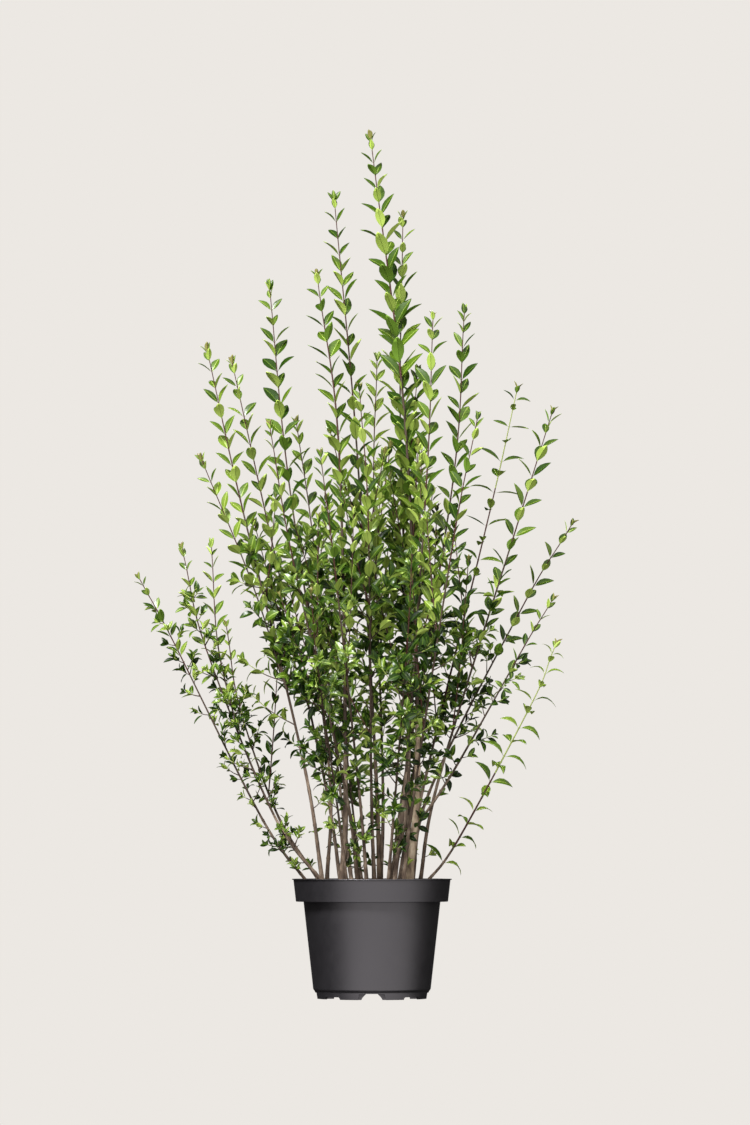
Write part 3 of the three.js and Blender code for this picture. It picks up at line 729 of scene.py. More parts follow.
def leaf_mesh(pile, leaves):
    """Adds leaves to a pile, all at once from arrays of their measures."""
    places, measures = ("root", "direction", "upper"), ("length", "width", "recurve", "fold", "twist", "roll")
    roots, directions, uppers = (np.array([leaf[key] for leaf in leaves]) for key in places)
    length, width, recurve, fold, twist, roll = (
        np.array([leaf[key] for leaf in leaves])[:, None, None] for key in measures)
    sides = np.cross(uppers, directions)
    sides /= np.linalg.norm(sides, axis=1, keepdims=True)
    faces = np.cross(directions, sides)
    along = LEAF_ROWS[None, :, None]
    half = LEAF_HALF_WIDTHS[None, :, None] * width / 2
    rib = np.minimum(RIB_SHARE * half, RIB_MOST)
    shoulder, vein = SHOULDER * half, VEIN * rib
    across = np.concatenate([-half, -shoulder, -rib, rib, shoulder, half, vein, -vein], axis=2)
    body_share = np.minimum(1, half / NARROW)
    swell = SWELL * half + BODY_SWELL * LEAF["thickness"] * body_share
    lift = fold * np.abs(across) + swell * SWELLING - LEAF["thickness"] * body_share * BELOW
    angle = roll + twist * along
    spun_across = across * np.cos(angle) - lift * np.sin(angle)
    spun_lift = across * np.sin(angle) + lift * np.cos(angle)
    sag = recurve * (ARCH * np.sin(np.pi * along) - along**2) * length
    ahead = along * length * (1 - DRAWN_IN * recurve * along**2)
    body = roots[:, None, None] + ahead[..., None] * directions[:, None, None]
    body = body + spun_across[..., None] * sides[:, None, None]
    body = body + (spun_lift + sag)[..., None] * faces[:, None, None]
    tips = roots + directions * (length * (1 - DRAWN_IN * recurve))[:, 0] - faces * (recurve * length)[:, 0]
    points = np.concatenate([body.reshape(len(leaves), -1, 3), tips[:, None]], axis=1)
    shift = (np.arange(len(leaves)) * points.shape[1])[:, None]
    corners = (LEAF_CORNERS[None] + shift).ravel()
    one_leaf = np.append(np.tile(np.arange(LEAF_COLUMNS), len(LEAF_ROWS)), NO_COLUMN)
    columns = np.tile(one_leaf, len(leaves))
    smooth = np.tile(np.append(np.ones(len(LEAF_SIZES) - 1), 0), len(leaves))
    sizes, slots = np.tile(LEAF_SIZES, len(leaves)), np.tile(LEAF_SLOTS, len(leaves))
    pile.add(points.reshape(-1, 3), corners, sizes, slots, smooth, columns)


# Growth

grown_leaves = {tint: [] for tint in TINTS}
whip_pile, twig_pile, stem_pile = Pile(), Pile(), Pile()
WHIP_BARK, WHIP_GREEN = 0, 2  # the first and last of SKINS

# Chances of each tint for sprays low, half-way and high on the plant. Far out counts as higher. The darker
# tints dealt low down and near the axis are partly the leaves' own deeper green and partly painted shade,
# where the crown shades its lower and inner sprays.
OUT_IN_THE_LIGHT = 0.35
WHIP_LIGHT = np.array([0.0, 0.0, 150.0])  # a whip counts as this much higher
OLD_LEAF_LIGHT = WHIP_LIGHT / 3
SPRAY_TINTS = (
    (420, {"dark": 0.44, "deep": 0.28, "green": 0.13, "leafy": 0.09, "fresh": 0.06}),
    (560, {"dark": 0.42, "deep": 0.25, "green": 0.15, "leafy": 0.12, "fresh": 0.06}),
    (700, {"dark": 0.22, "deep": 0.26, "green": 0.24, "leafy": 0.19, "fresh": 0.09}),
    (860, {"dark": 0.08, "deep": 0.22, "green": 0.3, "leafy": 0.24, "fresh": 0.16}),
    (9000, {"deep": 0.06, "green": 0.3, "leafy": 0.34, "fresh": 0.3}),
)
SHADES = ("dark", "deep", "green", "leafy", "fresh", "young")
LIGHTER_BELOW, DARKER_ABOVE = 0.22, 0.76


def spray_tint(place, draw):
    light = place[2] + OUT_IN_THE_LIGHT * math.hypot(place[0], place[1])
    chances = next(shares for top, shares in SPRAY_TINTS if light < top)
    pick = next(draw) * sum(chances.values())
    for tint, share in chances.items():
        pick -= share
        if pick < 0:
            return tint
    return tint


def shade_beside(tint, step):
    """The shade next to a tint, lighter for 1 and darker for -1."""
    return SHADES[min(max(SHADES.index(tint) + step, 0), len(SHADES) - 1)]


def leaf_tint(tint, draw):
    """Most leaves have their spray's colour, and a few a shade beside it."""
    pick = next(draw)
    if pick < LIGHTER_BELOW:
        return shade_beside(tint, 1)
    return shade_beside(tint, -1) if pick > DARKER_ABOVE else tint


RUDDY_TIPS = 0.8
PALE_TIP_LENGTH = 90  # the newest leaves are paler on shoots longer than this
TO_LIGHT = np.array([-0.1, -0.85, 0.4])  # leaves turn their upper faces somewhat to the light
LEAF_SPREAD = {"lean": 0.24, "turn": 0.25, "length": 0.13, "width": 0.12, "recurve": 0.7, "twist": 0.25,
               "roll": 0.3}
LEAST_FOLD, MORE_FOLD = 0.16, 0.22
CLOSED_LEAN, CLOSED_SPREAD, CLOSED_ASPECT = math.radians(20), 0.2, 0.4
CLOSED_LEAF = {"recurve": 0.1, "fold": 0.5, "twist": 0.0, "roll": 0.0}


def grow_pair(number, curve, share, turn, size, draw, tint, habit):
    """One opposite pair of leaves. A leaf that would grow through a limb is smaller or left out."""
    ahead, root = curve.ahead(share), curve.at(share)
    for half in (0, math.pi):
        upper = unit(ahead + TO_LIGHT * next(draw))
        lean = about(habit["lean"], LEAF_SPREAD["lean"], draw)
        direction = leaning(ahead, turn + half + swing(LEAF_SPREAD["turn"], draw), lean)
        length = about(LEAF["length"] * size, LEAF_SPREAD["length"], draw)
        width = about(length * habit["aspect"], LEAF_SPREAD["width"], draw)
        leaf = {
            "root": root + direction * habit["clear"], "direction": direction, "upper": upper,
            "recurve": about(habit["recurve"], LEAF_SPREAD["recurve"], draw),
            "fold": LEAST_FOLD + MORE_FOLD * next(draw),
            "twist": swing(LEAF_SPREAD["twist"], draw), "roll": swing(LEAF_SPREAD["roll"], draw)}
        shade = leaf_tint(tint, draw)
        for part in SHORTER_TRIES:
            if clear_of_limbs(number, leaf_outline(root, direction, ahead, length * part, width * part)):
                grown_leaves[shade].append({**leaf, "length": length * part, "width": width * part})
                break


def node_places(length, bare, nodes, draw):
    """Distances from a shoot's foot to its leaf pairs, closer together towards its tip."""
    place, gap, places = length - TOP_PAIR_DROP, nodes["first"], []
    while place > bare:
        places.append(place)
        place -= gap * (LEAST_GAP + MORE_GAP * next(draw))
        gap = min(nodes["step"], gap + nodes["growth"])
    return places


def next_pair(turn, draw):
    """Each pair is turned across the last."""
    return turn + (PAIR_TURN + swing(SPREAD["turn"], draw))


def grow_leaves(number, curve, bare, nodes, sizes, size, turn, draw, tint, habit, beyond=0):
    """Leaf pairs from a shoot's tip down to its bare part. Returns their places."""
    places = node_places(curve.length + beyond, bare, nodes, draw)
    for order, place in enumerate(places):
        share = place / curve.length
        scale = size * (sizes[order] if order < len(sizes) else 1)
        if habit is not TWIG_HABIT and habit is not LONE_HABIT:
            scale *= float(np.interp(curve.at(share)[2], *SHOOT_LEAF_SIZES))
        shade = tint
        if order == 0 and curve.length > PALE_TIP_LENGTH:
            shade = "ruddy" if next(draw) < RUDDY_TIPS else shade_beside(tint, 1)
        steeper = habit
        if order < len(NEWEST_LEANS):
            steeper = {**habit, "lean": habit["lean"] * NEWEST_LEANS[order]}
        if shade == "ruddy":
            grow_tip(curve, share, turn, scale, draw)
        else:
            grow_pair(number, curve, share, turn, scale, draw, shade, steeper)
        turn = next_pair(turn, draw)
    return places


def grow_tip(curve, share, turn, size, draw):
    """The closed reddish pair at the very tip of a shoot."""
    ahead, root = curve.ahead(share), curve.at(share)
    for half in (0, math.pi):
        length = about(LEAF["length"] * size, CLOSED_SPREAD, draw)
        direction = leaning(ahead, turn + half, CLOSED_LEAN)
        grown_leaves["ruddy"].append({
            **CLOSED_LEAF, "root": root, "direction": direction, "upper": ahead,
            "length": length, "width": length * CLOSED_ASPECT})


# How the leaves of a shoot stand, and the skin of its wood from foot to tip
LEAF_HABIT = {"lean": LEAF["lean"], "aspect": LEAF["aspect"], "recurve": LEAF["recurve"], "clear": 1.0,
              "size": 1.05, "skin": (0, 0.6, 1.5)}
STOUT_HABIT = {**LEAF_HABIT, "size": 1.26}
AIRY_HABIT = {**LEAF_HABIT, "lean": math.radians(70), "aspect": 0.33, "recurve": 0.12, "size": 1.1,
              "skin": (0.3, 1.4, 2.4)}
LONE_HABIT = {**LEAF_HABIT, "lean": math.radians(64), "aspect": 0.34, "recurve": 0.24,
              "skin": (0.4, 2.4, 2.4)}
SLIGHT_HABIT = {**LEAF_HABIT, "size": 0.98, "aspect": 0.38}
TWIG_HABIT = {**LEAF_HABIT, "lean": math.radians(64), "aspect": 0.39, "recurve": 0.18, "clear": 0.5}

# Stems of one kind, and what is theirs. A whip that isn't named has LEAF_HABIT and a tint for its height.
STOUT_STEMS = ("leader", "partner")
WING_STEMS = ("far_west", "low_west", "low_west_back", "side_branch", "east_wing")
FRONT_STEMS = ("front_mid", "front_west", "west_front", "east_low", "front_low", "front_east")
WING_TWIGS = {"length": 0.5, "size": 0.86}
HABITS = {
    **dict.fromkeys(STOUT_STEMS, STOUT_HABIT),
    **dict.fromkeys(WING_STEMS + FRONT_STEMS, SLIGHT_HABIT),
    "east_wing": LEAF_HABIT,
    "east_lean": AIRY_HABIT,
    LONE: LONE_HABIT,
}
NODES = {**dict.fromkeys(STOUT_STEMS, STOUT_NODES), "east_lean": AIRY_NODES, LONE: LONE_NODES}
WHIP_TINTS = {
    **dict.fromkeys(("leader", "north_spire", "west_spire", "slim_spire", "east_front", "east_back",
                     "east_lean", "far_east", "east_wing", "far_west", *FRONT_STEMS), "green"),
    **dict.fromkeys(("partner", "west_lean", "west_back", "low_west", LONE), "leafy"),
    **dict.fromkeys(("front_low", "front_east"), "deep"),
}


def rising(start, direction, length, rise):
    """The route of a twig or shoot that bends up towards its tip."""
    tip = start + direction * length
    tip[2] += length * rise
    return Route([start, start + direction * length / 2, tip])


def side_shoot(number, start, direction, length, fits):
    """The longest of the tries that fits among the other limbs, or none."""
    for part in SHORTER_TRIES:
        twig = rising(start, direction, length * part, TWIG_RISE)
        if fits(number, twig.at(TWIG_TESTS)):
            return twig
    return None


def grow_twig(number, twig, draw, size, tint, bare, tip_sizes):
    rings = max(FEWEST_RINGS["twig"], round(twig.length / TWIG_RING_STEP))
    shares = np.linspace(0, 1, rings)
    skin = np.where(shares[:-1] > GREEN_FROM, WHIP_GREEN, WHIP_BARK)
    thick = TWIG_ROOT_RADIUS * min(1, SHORT_TWIG_GIRTH + twig.length / GIRTH_RUN)
    tube(twig_pile, twig.at(shares), np.interp(shares, (0, 1), (thick, TWIG_TIP_RADIUS)), TWIG_SIDES, skin)
    grow_leaves(number, twig, bare, TWIG_NODES, tip_sizes, size, next(draw) * math.pi, draw, tint, TWIG_HABIT)


def fullness(place):
    """1 in the full middle of the crown, 0 well outside it."""
    return float(np.interp(math.hypot(place[0], place[1]) / np.interp(place[2], *CORE), THINNING, (1, 0)))


def leaf_size_at(place):
    """Leaves on twigs are smaller low down and far out."""
    by_height = np.interp(place[2], *TWIG_LEAF_SIZES)
    return float(by_height * (1 - OUTER_LEAF_LOSS * (1 - fullness(place))))


def grow_side_twigs(number, curve, start, end, draw):
    """The side twigs that the part's source grows, at the same places."""
    count = math.floor(curve.length * (end - start) / TWIG_STEP + 0.5)
    turn = next(draw) * 2 * math.pi
    for i in range(count):
        share = start + (end - start) * (i + 0.5) / count
        length = about(TWIG_LENGTH * (1 - UPPER_TWIG_LOSS * i / count), SPREAD["length"], draw)
        direction = leaning(curve.ahead(share), turn, about(TWIG_LEAN, SPREAD["lean"], draw))
        leaf_draw = seeded(math.floor(next(draw) * SEED_RANGE))
        turn += GOLDEN_TURN + swing(SPREAD["turn"], draw)
        size = leaf_size_at(curve.at(share))
        if STEMS[number]["name"] in WING_STEMS:
            length *= WING_TWIGS["length"]
            size *= WING_TWIGS["size"]
        twig = side_shoot(number, curve.at(share), direction, length, keeps_to_space)
        if twig:
            tint = spray_tint(twig.at(1), leaf_draw)
            grow_twig(number, twig, leaf_draw, size, tint, TWIG_BARE, TWIG_TIP_SIZES)


def grow_spurs(number, curve, start, end, rule, draw):
    """Short opposite spurs between the side twigs, each with a few small leaves, fewer of them far out."""
    count = round(curve.length * (end - start) / rule["step"])
    turn = next(draw) * math.pi
    for i in range(count):
        share = start + (end - start) * (i + SPUR_PLACE + SPUR_SHIFT * next(draw)) / count
        root = curve.at(share)
        chance = np.interp(fullness(root), (1, 0), rule["chances"]) * np.interp(root[2], *SPURS_BY_HEIGHT)
        for half in (0, math.pi):
            if next(draw) > chance:
                continue
            direction = leaning(curve.ahead(share), turn + half, about(SPUR_LEAN, SPUR_SPREAD["lean"], draw))
            length = about(rule["length"], SPUR_SPREAD["length"], draw)
            spur = side_shoot(number, root, direction, length, clear_of_limbs)
            if spur:
                size = leaf_size_at(root) * (WING_TWIGS["size"] if rule is WING_SPURS else 1)
                tint = spray_tint(spur.at(1), draw)
                grow_twig(number, spur, draw, size, tint, SPUR_BARE, SPUR_TIP_SIZES)
        turn = next_pair(turn, draw)


def grow_shoots(number, curve, wood, habit, rule, draw):
    """Slender upright shoots from about the top of the older wood, with full-size leaves."""
    turn = next(draw) * 2 * math.pi
    for i in range(rule["count"]):
        steps = i - SHOOTS_BELOW * rule["count"] + SHOOT_SHIFT * next(draw)
        share = wood + steps * rule["spacing"] / curve.length
        if not 0 < share < 1:
            continue
        most = SHOOT_REACH * curve.length * (1 - share)
        length = min(about(rule["length"], SHOOT_SPREAD["length"], draw), most)
        direction = leaning(curve.ahead(share), turn, about(rule["lean"], SHOOT_SPREAD["lean"], draw))
        turn += GOLDEN_TURN + swing(SPREAD["turn"], draw)
        shoot = rising(curve.at(share), direction, length, rule["rise"])
        tip = shoot.tip
        grows = tip[2] < rule["top"] and (next(draw) < fullness(tip) or rule is CLOSE_SHOOT)
        if grows and clear_of_limbs(number, shoot.at(SHOOT_TESTS)):
            tint = spray_tint(tip, draw)
            places = grow_leaves(number, shoot, SHOOT_BARE, SHOOT_NODES, TIP_SIZES, rule["size"],
                                 next(draw) * math.pi, draw, tint, habit)
            wooden(shoot, 0, rule["radius"], places, SHOOT_SKIN, TWIG_SIDES)


def grow_old_leaves(number, curve, start, wood, turn, draw, habit):
    """Leaf pairs that last on the older wood, more of them higher up."""
    place = wood * curve.length
    while place > start * curve.length:
        share = place / curve.length
        spot = curve.at(share)
        if next(draw) < np.interp(spot[2], *OLD_LEAF_CHANCES):
            tint = spray_tint(spot + OLD_LEAF_LIGHT, draw)
            by_height = float(np.interp(spot[2], *SHOOT_LEAF_SIZES))
            size = habit["size"] * by_height * about(OLD_LEAF["size"], OLD_LEAF["size_spread"], draw)
            grow_pair(number, curve, share, turn, size, draw, tint, habit)
        turn = next_pair(turn, draw)
        place -= about(WHIP_NODES["step"], OLD_LEAF["step_spread"], draw)


WOOD_STEP = 5.5
NODE_SWELLING = {"height": 0.14, "reach": 2.2}
MIDDLE_SKIN_AT = 0.7
WHIP_SIDES = 7


def wooden(curve, start, base_radius, places, shades, sides, beyond=0):
    """The wood of a whip: thicker at each leaf pair, brown at its foot and paler at its tip."""
    end = 1 + beyond / curve.length
    rings = max(FEWEST_RINGS["whip"], round(curve.length * (end - start) / WOOD_STEP))
    shares = np.linspace(start, end, rings)
    radii = np.interp(shares, (start, end), (base_radius, WHIP_TIP_RADIUS))
    run = shares * curve.length
    for place in places:
        near = np.exp(-(((run - place) / NODE_SWELLING["reach"]) ** 2))
        radii = radii + NODE_SWELLING["height"] * radii * near
    skin = np.interp(shares[:-1], (start, start + MIDDLE_SKIN_AT * (end - start), end), shades)
    skin = np.clip(np.round(skin), WHIP_BARK, WHIP_GREEN).astype(int)
    tube(whip_pile, curve.at(shares), radii, sides, skin)


def grow_whip(number, curve, start, wood, base_radius, seed, name):
    """A leafy whip: wood with twigs and spurs on it, then leaf pairs up to the tip."""
    draw = seeded(seed)
    if wood > start:
        grow_side_twigs(number, curve, start, wood, draw)
        spurs = WING_SPURS if name in WING_STEMS else SPURS
        last = wood + WOOD_ENDS.get(name, SPURS_PAST_WOOD)
        grow_spurs(number, curve, start, last, spurs, seeded(seed + SEEDS["spurs"]))
    leaf_draw = seeded(seed + SEEDS["leaves"])
    bare = curve.length * (curve.reaches(LONE_BARE_TO) if name == LONE else max(start, wood))
    turn = math.pi * next(leaf_draw)
    habit = HABITS.get(name, LEAF_HABIT)
    tint = WHIP_TINTS.get(name) or spray_tint(curve.at(1) + WHIP_LIGHT, leaf_draw)
    nodes = NODES.get(name, WHIP_NODES)
    sizes = STOUT_TIP_SIZES if habit is STOUT_HABIT else TIP_SIZES
    places = grow_leaves(number, curve, bare, nodes, sizes, habit["size"], turn, leaf_draw, tint, habit,
                         TIP_RUN)
    if name != LONE:
        grow_shoots(number, curve, wood, habit, SHOOTS.get(name, SHOOT), seeded(seed + SEEDS["shoots"]))
        grow_old_leaves(number, curve, start, wood, turn, leaf_draw, habit)
    foot = max(0, start - OVERLAP / curve.length)
    wooden(curve, foot, base_radius, places, habit["skin"], WHIP_SIDES, TIP_RUN)


def bough_radius(stem, share):
    run = share * (stem["bare_to"] - COMPOST_TOP)
    swelling = FLARE["extra"] * stem["radius"] * np.exp(-run / FLARE["reach"]) if stem["foot"] else 0
    return stem["radius"] + (stem["tip_radius"] - stem["radius"]) * share + swelling


BARK_SIDES = 16
BARK_STEP = 3.4
BARK_PALE, BARK_BROWN, BARK_DARK = 0, 1, 2
BARK_OF = {"leader": BARK_PALE, "west_spire": BARK_BROWN, "slim_spire": BARK_DARK, "north_spire": BARK_DARK}
SUNK = 5  # how deep a stem's foot stands in the compost
PATTERN_SHIFT = 40
RIDGES = {"round": 1.3, "along": 26, "depth": 0.07}
GRAIN = {"round": 3.5, "along": 9, "depth": 0.04}
# Leaf scars: rings round the stem with two buds each, the first a little way up from the foot
SCARS = {"first": 14, "later": 16, "step": 28, "spread": 0.2, "turn": 0.15, "reach": 2.6, "ring": 0.06,
         "bud": 0.24, "bud_sharpness": 3.2}


def grow_bough(number, stem):
    """The bare lower part of a stem, with ridges, old leaf scars and buds in its bark."""
    route = routes[stem["name"]]
    end = route.reaches(stem["bare_to"])
    draw = seeded(SEED_STEP * number + SEEDS["bark"])
    rings = max(FEWEST_RINGS["bough"], round(route.length * end / BARK_STEP))
    shares = np.linspace(0, 1, rings)
    middles = route.at(shares * end)
    angles = round_angles(BARK_SIDES)
    radii = bough_radius(stem, shares)[:, None] * np.ones(BARK_SIDES)
    shift = PATTERN_SHIFT * next(draw)
    for i, middle in enumerate(middles):
        for k, angle in enumerate(angles):
            x, y, z = math.cos(angle), math.sin(angle), middle[2]
            spot = Vector((RIDGES["round"] * x + shift, RIDGES["round"] * y, z / RIDGES["along"]))
            fine = Vector((GRAIN["round"] * x, GRAIN["round"] * y + shift, z / GRAIN["along"]))
            radii[i, k] *= 1 + RIDGES["depth"] * noise.noise(spot) + GRAIN["depth"] * noise.noise(fine)
    run = shares * end * route.length
    place, turn = SCARS["first"] + SCARS["later"] * next(draw), next(draw) * math.pi
    while place < run[-1]:
        near = np.exp(-(((run - place) / SCARS["reach"]) ** 2))[:, None]
        buds = np.exp(SCARS["bud_sharpness"] * (np.cos(2 * (angles - turn)) - 1))[None]
        radii += stem["tip_radius"] * near * (SCARS["ring"] + SCARS["bud"] * buds)
        place += about(SCARS["step"], SCARS["spread"], draw)
        turn += PAIR_TURN + swing(SCARS["turn"], draw)
    if stem["foot"]:
        middles = np.vstack([middles[0] - [0, 0, SUNK], middles])
        radii = np.vstack([radii[0], radii])
    tube(stem_pile, middles, radii, BARK_SIDES, BARK_OF.get(stem["name"], BARK_BROWN), flat_foot=True)
    if stem["name"] != LONE:
        low_draw = seeded(SEED_STEP * number + SEEDS["low"])
        grow_spurs(number, route, route.reaches(LOW_SPURS_FROM), end, LOW_SPURS, low_draw)


for number, stem in enumerate(STEMS):
    name = stem["name"]
    route = routes[name]
    start, wood = route.reaches(stem["bare_to"]), route.reaches(stem["wood_to"])
    seed = SEED_STEP * number
    grow_bough(number, stem)
    grow_whip(number, route, start, wood, stem["tip_radius"], seed + SEEDS["leader"], name)
    if name in FORKS:
        grow_whip(number, fork_route(name), 0, FORK["wood"], FORK["radius"], seed + SEEDS["fork"], name)

foliage_nodes = [f"foliage_{stem['name']}" for stem in STEMS]
stem_nodes = [f"stem_{stem['name']}" for stem in STEMS]

stem_pile.piece("bark_stems", [
    bark("pale bark", (82, 68, 56), (136, 119, 100), (176, 160, 140)),
    bark("brown bark", (48, 38, 31), (82, 68, 57), (124, 109, 95)),
    bark("dark bark", (44, 34, 28), (74, 60, 48), (106, 90, 74)),
], "bark", stem_nodes)

SKINS = [
    shoot_skin("whip bark", (56, 44, 35), 0.66),
    shoot_skin("purple shoot", (54, 27, 22), 0.55),
    shoot_skin("green shoot", (112, 122, 58), 0.5),
]
whip_pile.piece("whips", SKINS, "bark", foliage_nodes)
twig_pile.piece("side_twigs", SKINS, "bark", foliage_nodes)

for tint, colours in TINTS.items():
    assert len(grown_leaves[tint]) < MOST_LEAVES
    pile = Pile()
    leaf_mesh(pile, grown_leaves[tint])
    shine = LEAF_SHINE.get(tint, LIGHT_LEAF_SHINE)
    skins = [blade(f"{tint} {face}", colour, gloss, shine, relief)
             for colour, (face, gloss, relief) in zip(colours, LEAF_FACES)]
    pile.piece(f"leaves_{tint}", skins, "foliage", foliage_nodes, creased=LEAF_CREASES)


# Pot

def rounded(profile, steps):
    """Bends each corner of a profile of (radius, height, rounding) into a short arc."""
    places = [np.array(corner[:2], float) for corner in profile]
    line = []
    for i, (corner, place) in enumerate(zip(profile, places)):
        rounding = corner[2] if len(corner) > 2 else 0
        if not rounding or i in (0, len(places) - 1):
            line.append(place)
            continue
        back, on = places[i - 1] - place, places[i + 1] - place
        first = place + unit(back) * min(rounding, np.linalg.norm(back) / 2)
        last = place + unit(on) * min(rounding, np.linalg.norm(on) / 2)
        for t in np.linspace(0, 1, steps):
            line.append(first * (1 - t) ** 2 + place * 2 * t * (1 - t) + last * t**2)
    return np.array(line)


def lathed(name, profile, segments):
    """Turns a profile that starts and ends on the axis into a closed mesh."""
    inner = profile[1:-1]
    angles = round_angles(segments)
    rings = np.stack([inner[:, :1] * np.cos(angles), inner[:, :1] * np.sin(angles),
                      inner[:, 1:] * np.ones(segments)], axis=-1)
    points = np.vstack([rings.reshape(-1, 3), [0, 0, profile[0][1]], [0, 0, profile[-1][1]]])
    index, quads = ring_quads(len(inner), segments)
    foot, head = len(points) - 2, len(points) - 1
    faces = quads.tolist()
    faces += [[foot, index[0][(k + 1) % segments], index[0][k]] for k in range(segments)]
    faces += [[head, index[-1][k], index[-1][(k + 1) % segments]] for k in range(segments)]
    return solid_mesh(name, points, faces)


def solid_mesh(name, points, faces):
    mesh = bpy.data.meshes.new(name)
    places = (np.asarray(points) + [POT_AXIS_X, 0, 0]) * MM
    mesh.from_pydata(places.tolist(), [], [list(map(int, face)) for face in faces])
    mesh.update()
    return mesh


def spun(points, angle):
    points = np.asarray(points, float)
    x, y = points[:, 0], points[:, 1]
    return np.stack([x * math.cos(angle) - y * math.sin(angle), x * math.sin(angle) + y * math.cos(angle),
                     points[:, 2]], axis=1)


def bar(ends, angle):
    """The points and faces of a bar between two outlines that match corner for corner."""
    count = len(ends[0])
    faces = [list(range(count))[::-1], list(range(count, 2 * count))]
    faces += [[k, (k + 1) % count, count + (k + 1) % count, count + k] for k in range(count)]
    return spun(np.vstack(ends), angle), faces


def prism(section, inner, outer, angle):
    """A bar whose (across, up) section runs outwards between two radii."""
    ends = [np.column_stack([np.full(len(section), radius), section]) for radius in (inner, outer)]
    return bar(ends, angle)


def drill(angle):
    """A round bar through the pot's floor."""
    turns = round_angles(DRAIN_HOLE["sides"])
    circle = np.stack([DRAIN_HOLE["ring"] + DRAIN_HOLE["radius"] * np.cos(turns),
                       DRAIN_HOLE["radius"] * np.sin(turns)], axis=1)
    heights = (FLOOR_UNDERSIDE - CUT_PAST, FLOOR_TOP + CUT_PAST)
    ends = [np.column_stack([circle, np.full(len(circle), height)]) for height in heights]
    return bar(ends, angle)


def notch_section(notch):
    """The outline of a foot notch, seen from outside."""
    wide, top, height = notch["width"] / 2, notch["top_width"] / 2, notch["height"]
    line = rounded([(-wide, -NOTCH_BELOW), (-wide, 0), (-top, height, NOTCH_ROUNDING),
                    (top, height, NOTCH_ROUNDING), (wide, 0), (wide, -NOTCH_BELOW)], CUT_ARC_STEPS)
    return line[::-1]


def rib_section(side):
    """The outline of the rib on one side of a wide notch."""
    top = FLOOR_UNDERSIDE + RIB["sunk"]
    line = rounded([(RIB["base"], 0), (RIB["base"] - RIB["draw_in"], *RIB["bend"]),
                    (RIB["head"], FLOOR_UNDERSIDE, RIB["rounding"]), (RIB["head"], top),
                    (RIB["side"], top), (RIB["side"], 0)], CUT_ARC_STEPS)
    section = line * [side, 1]
    return section if side > 0 else section[::-1]


def gathered(name, bodies):
    """One object from several closed bodies."""
    points, faces, count = [], [], 0
    for body_points, body_faces in bodies:
        points.append(body_points)
        faces += [[corner + count for corner in face] for face in body_faces]
        count += len(body_points)
    return added(name, solid_mesh(name, np.vstack(points), faces))


def make_pot():
    profile = rounded([
        (0, FLOOR_UNDERSIDE),
        (FOOT_LOW_RADIUS - FOOT_RING_WIDTH, FLOOR_UNDERSIDE, 1),
        (FOOT_LOW_RADIUS - FOOT_RING_WIDTH, 0, 0.6),
        (FOOT_LOW_RADIUS, 0, 0.6),
        (FOOT_TOP_RADIUS, FOOT_TOP_HEIGHT, 1.2),
        (BODY_LOW_RADIUS - FOOT_BEVEL, BODY_LOW_HEIGHT - 2 * FOOT_BEVEL, 0.5),
        (BODY_LOW_RADIUS, BODY_LOW_HEIGHT, 0.5),
        (BODY_TOP_RADIUS, LEDGE_HEIGHT, 0.5),
        (COLLAR_LOW_RADIUS, LEDGE_HEIGHT, 0.8),
        (COLLAR_TOP_RADIUS, RIM_HEIGHT - LIP_THICKNESS, 0.5),
        (LIP_RADIUS, RIM_HEIGHT - LIP_THICKNESS, 0.5),
        (LIP_RADIUS, RIM_HEIGHT, 0.6),
        (COLLAR_TOP_RADIUS - WALL, RIM_HEIGHT, 0.6),
        (COLLAR_LOW_RADIUS - WALL, LEDGE_HEIGHT + WALL, 1.5),
        (BODY_TOP_RADIUS - WALL, LEDGE_HEIGHT + WALL, 1),
        (BODY_LOW_RADIUS - WALL, BODY_LOW_HEIGHT, 1),
        (FOOT_TOP_RADIUS - WALL, FLOOR_TOP, 1),
        (0, FLOOR_TOP),
    ], POT_ARC_STEPS)
    pot = added("pot_body", lathed("pot_body", profile, POT_SEGMENTS))
    quarters = [quarter * 2 * math.pi / NOTCH_COUNT for quarter in range(NOTCH_COUNT)]
    cuts = [drill(angle) for angle in quarters]
    for notch in (WIDE_NOTCH, LOW_NOTCH):
        section = notch_section(notch)
        cuts += [prism(section, FOOT_LOW_RADIUS - FOOT_RING_WIDTH - CUT_PAST, FOOT_TOP_RADIUS + CUT_PAST,
                       angle + notch["turn"]) for angle in quarters]
    ribs = [prism(rib_section(side), RIB["inner"], RIB["outer"], angle)
            for angle in quarters for side in (-1, 1)]
    tools = []
    for name, bodies, operation in (("cuts", cuts, "DIFFERENCE"), ("ribs", ribs, "UNION")):
        tool = gathered(name, bodies)
        step = pot.modifiers.new(name, "BOOLEAN")
        step.object = tool
        step.operation = operation
        step.solver = "EXACT"
        tools.append(tool)
    bpy.context.view_layer.update()
    shaped = bpy.data.meshes.new_from_object(pot.evaluated_get(bpy.context.evaluated_depsgraph_get()))
    for leftover in [pot, *tools]:
        bpy.data.objects.remove(leftover)
    shaped.name = "pot_moulding"
    shaped.polygons.foreach_set("use_smooth", np.ones(len(shaped.polygons), bool))
    shaped.set_sharp_from_angle(angle=SHARP_FROM)
    shaped.materials.clear()
    shaped.materials.append(plastic())
    placed("pot_moulding", shaped, ["pot"])


make_pot()


# Compost

def compost_radius(height):
    """The radius of the filling at a height of the collar."""
    slope = (COLLAR_TOP_RADIUS - COLLAR_LOW_RADIUS) / (RIM_HEIGHT - LIP_THICKNESS - LEDGE_HEIGHT)
    return COLLAR_LOW_RADIUS + slope * (height - LEDGE_HEIGHT - WALL) - WALL - GAP


FEET = [stem["foot"] for stem in STEMS if stem["foot"]]


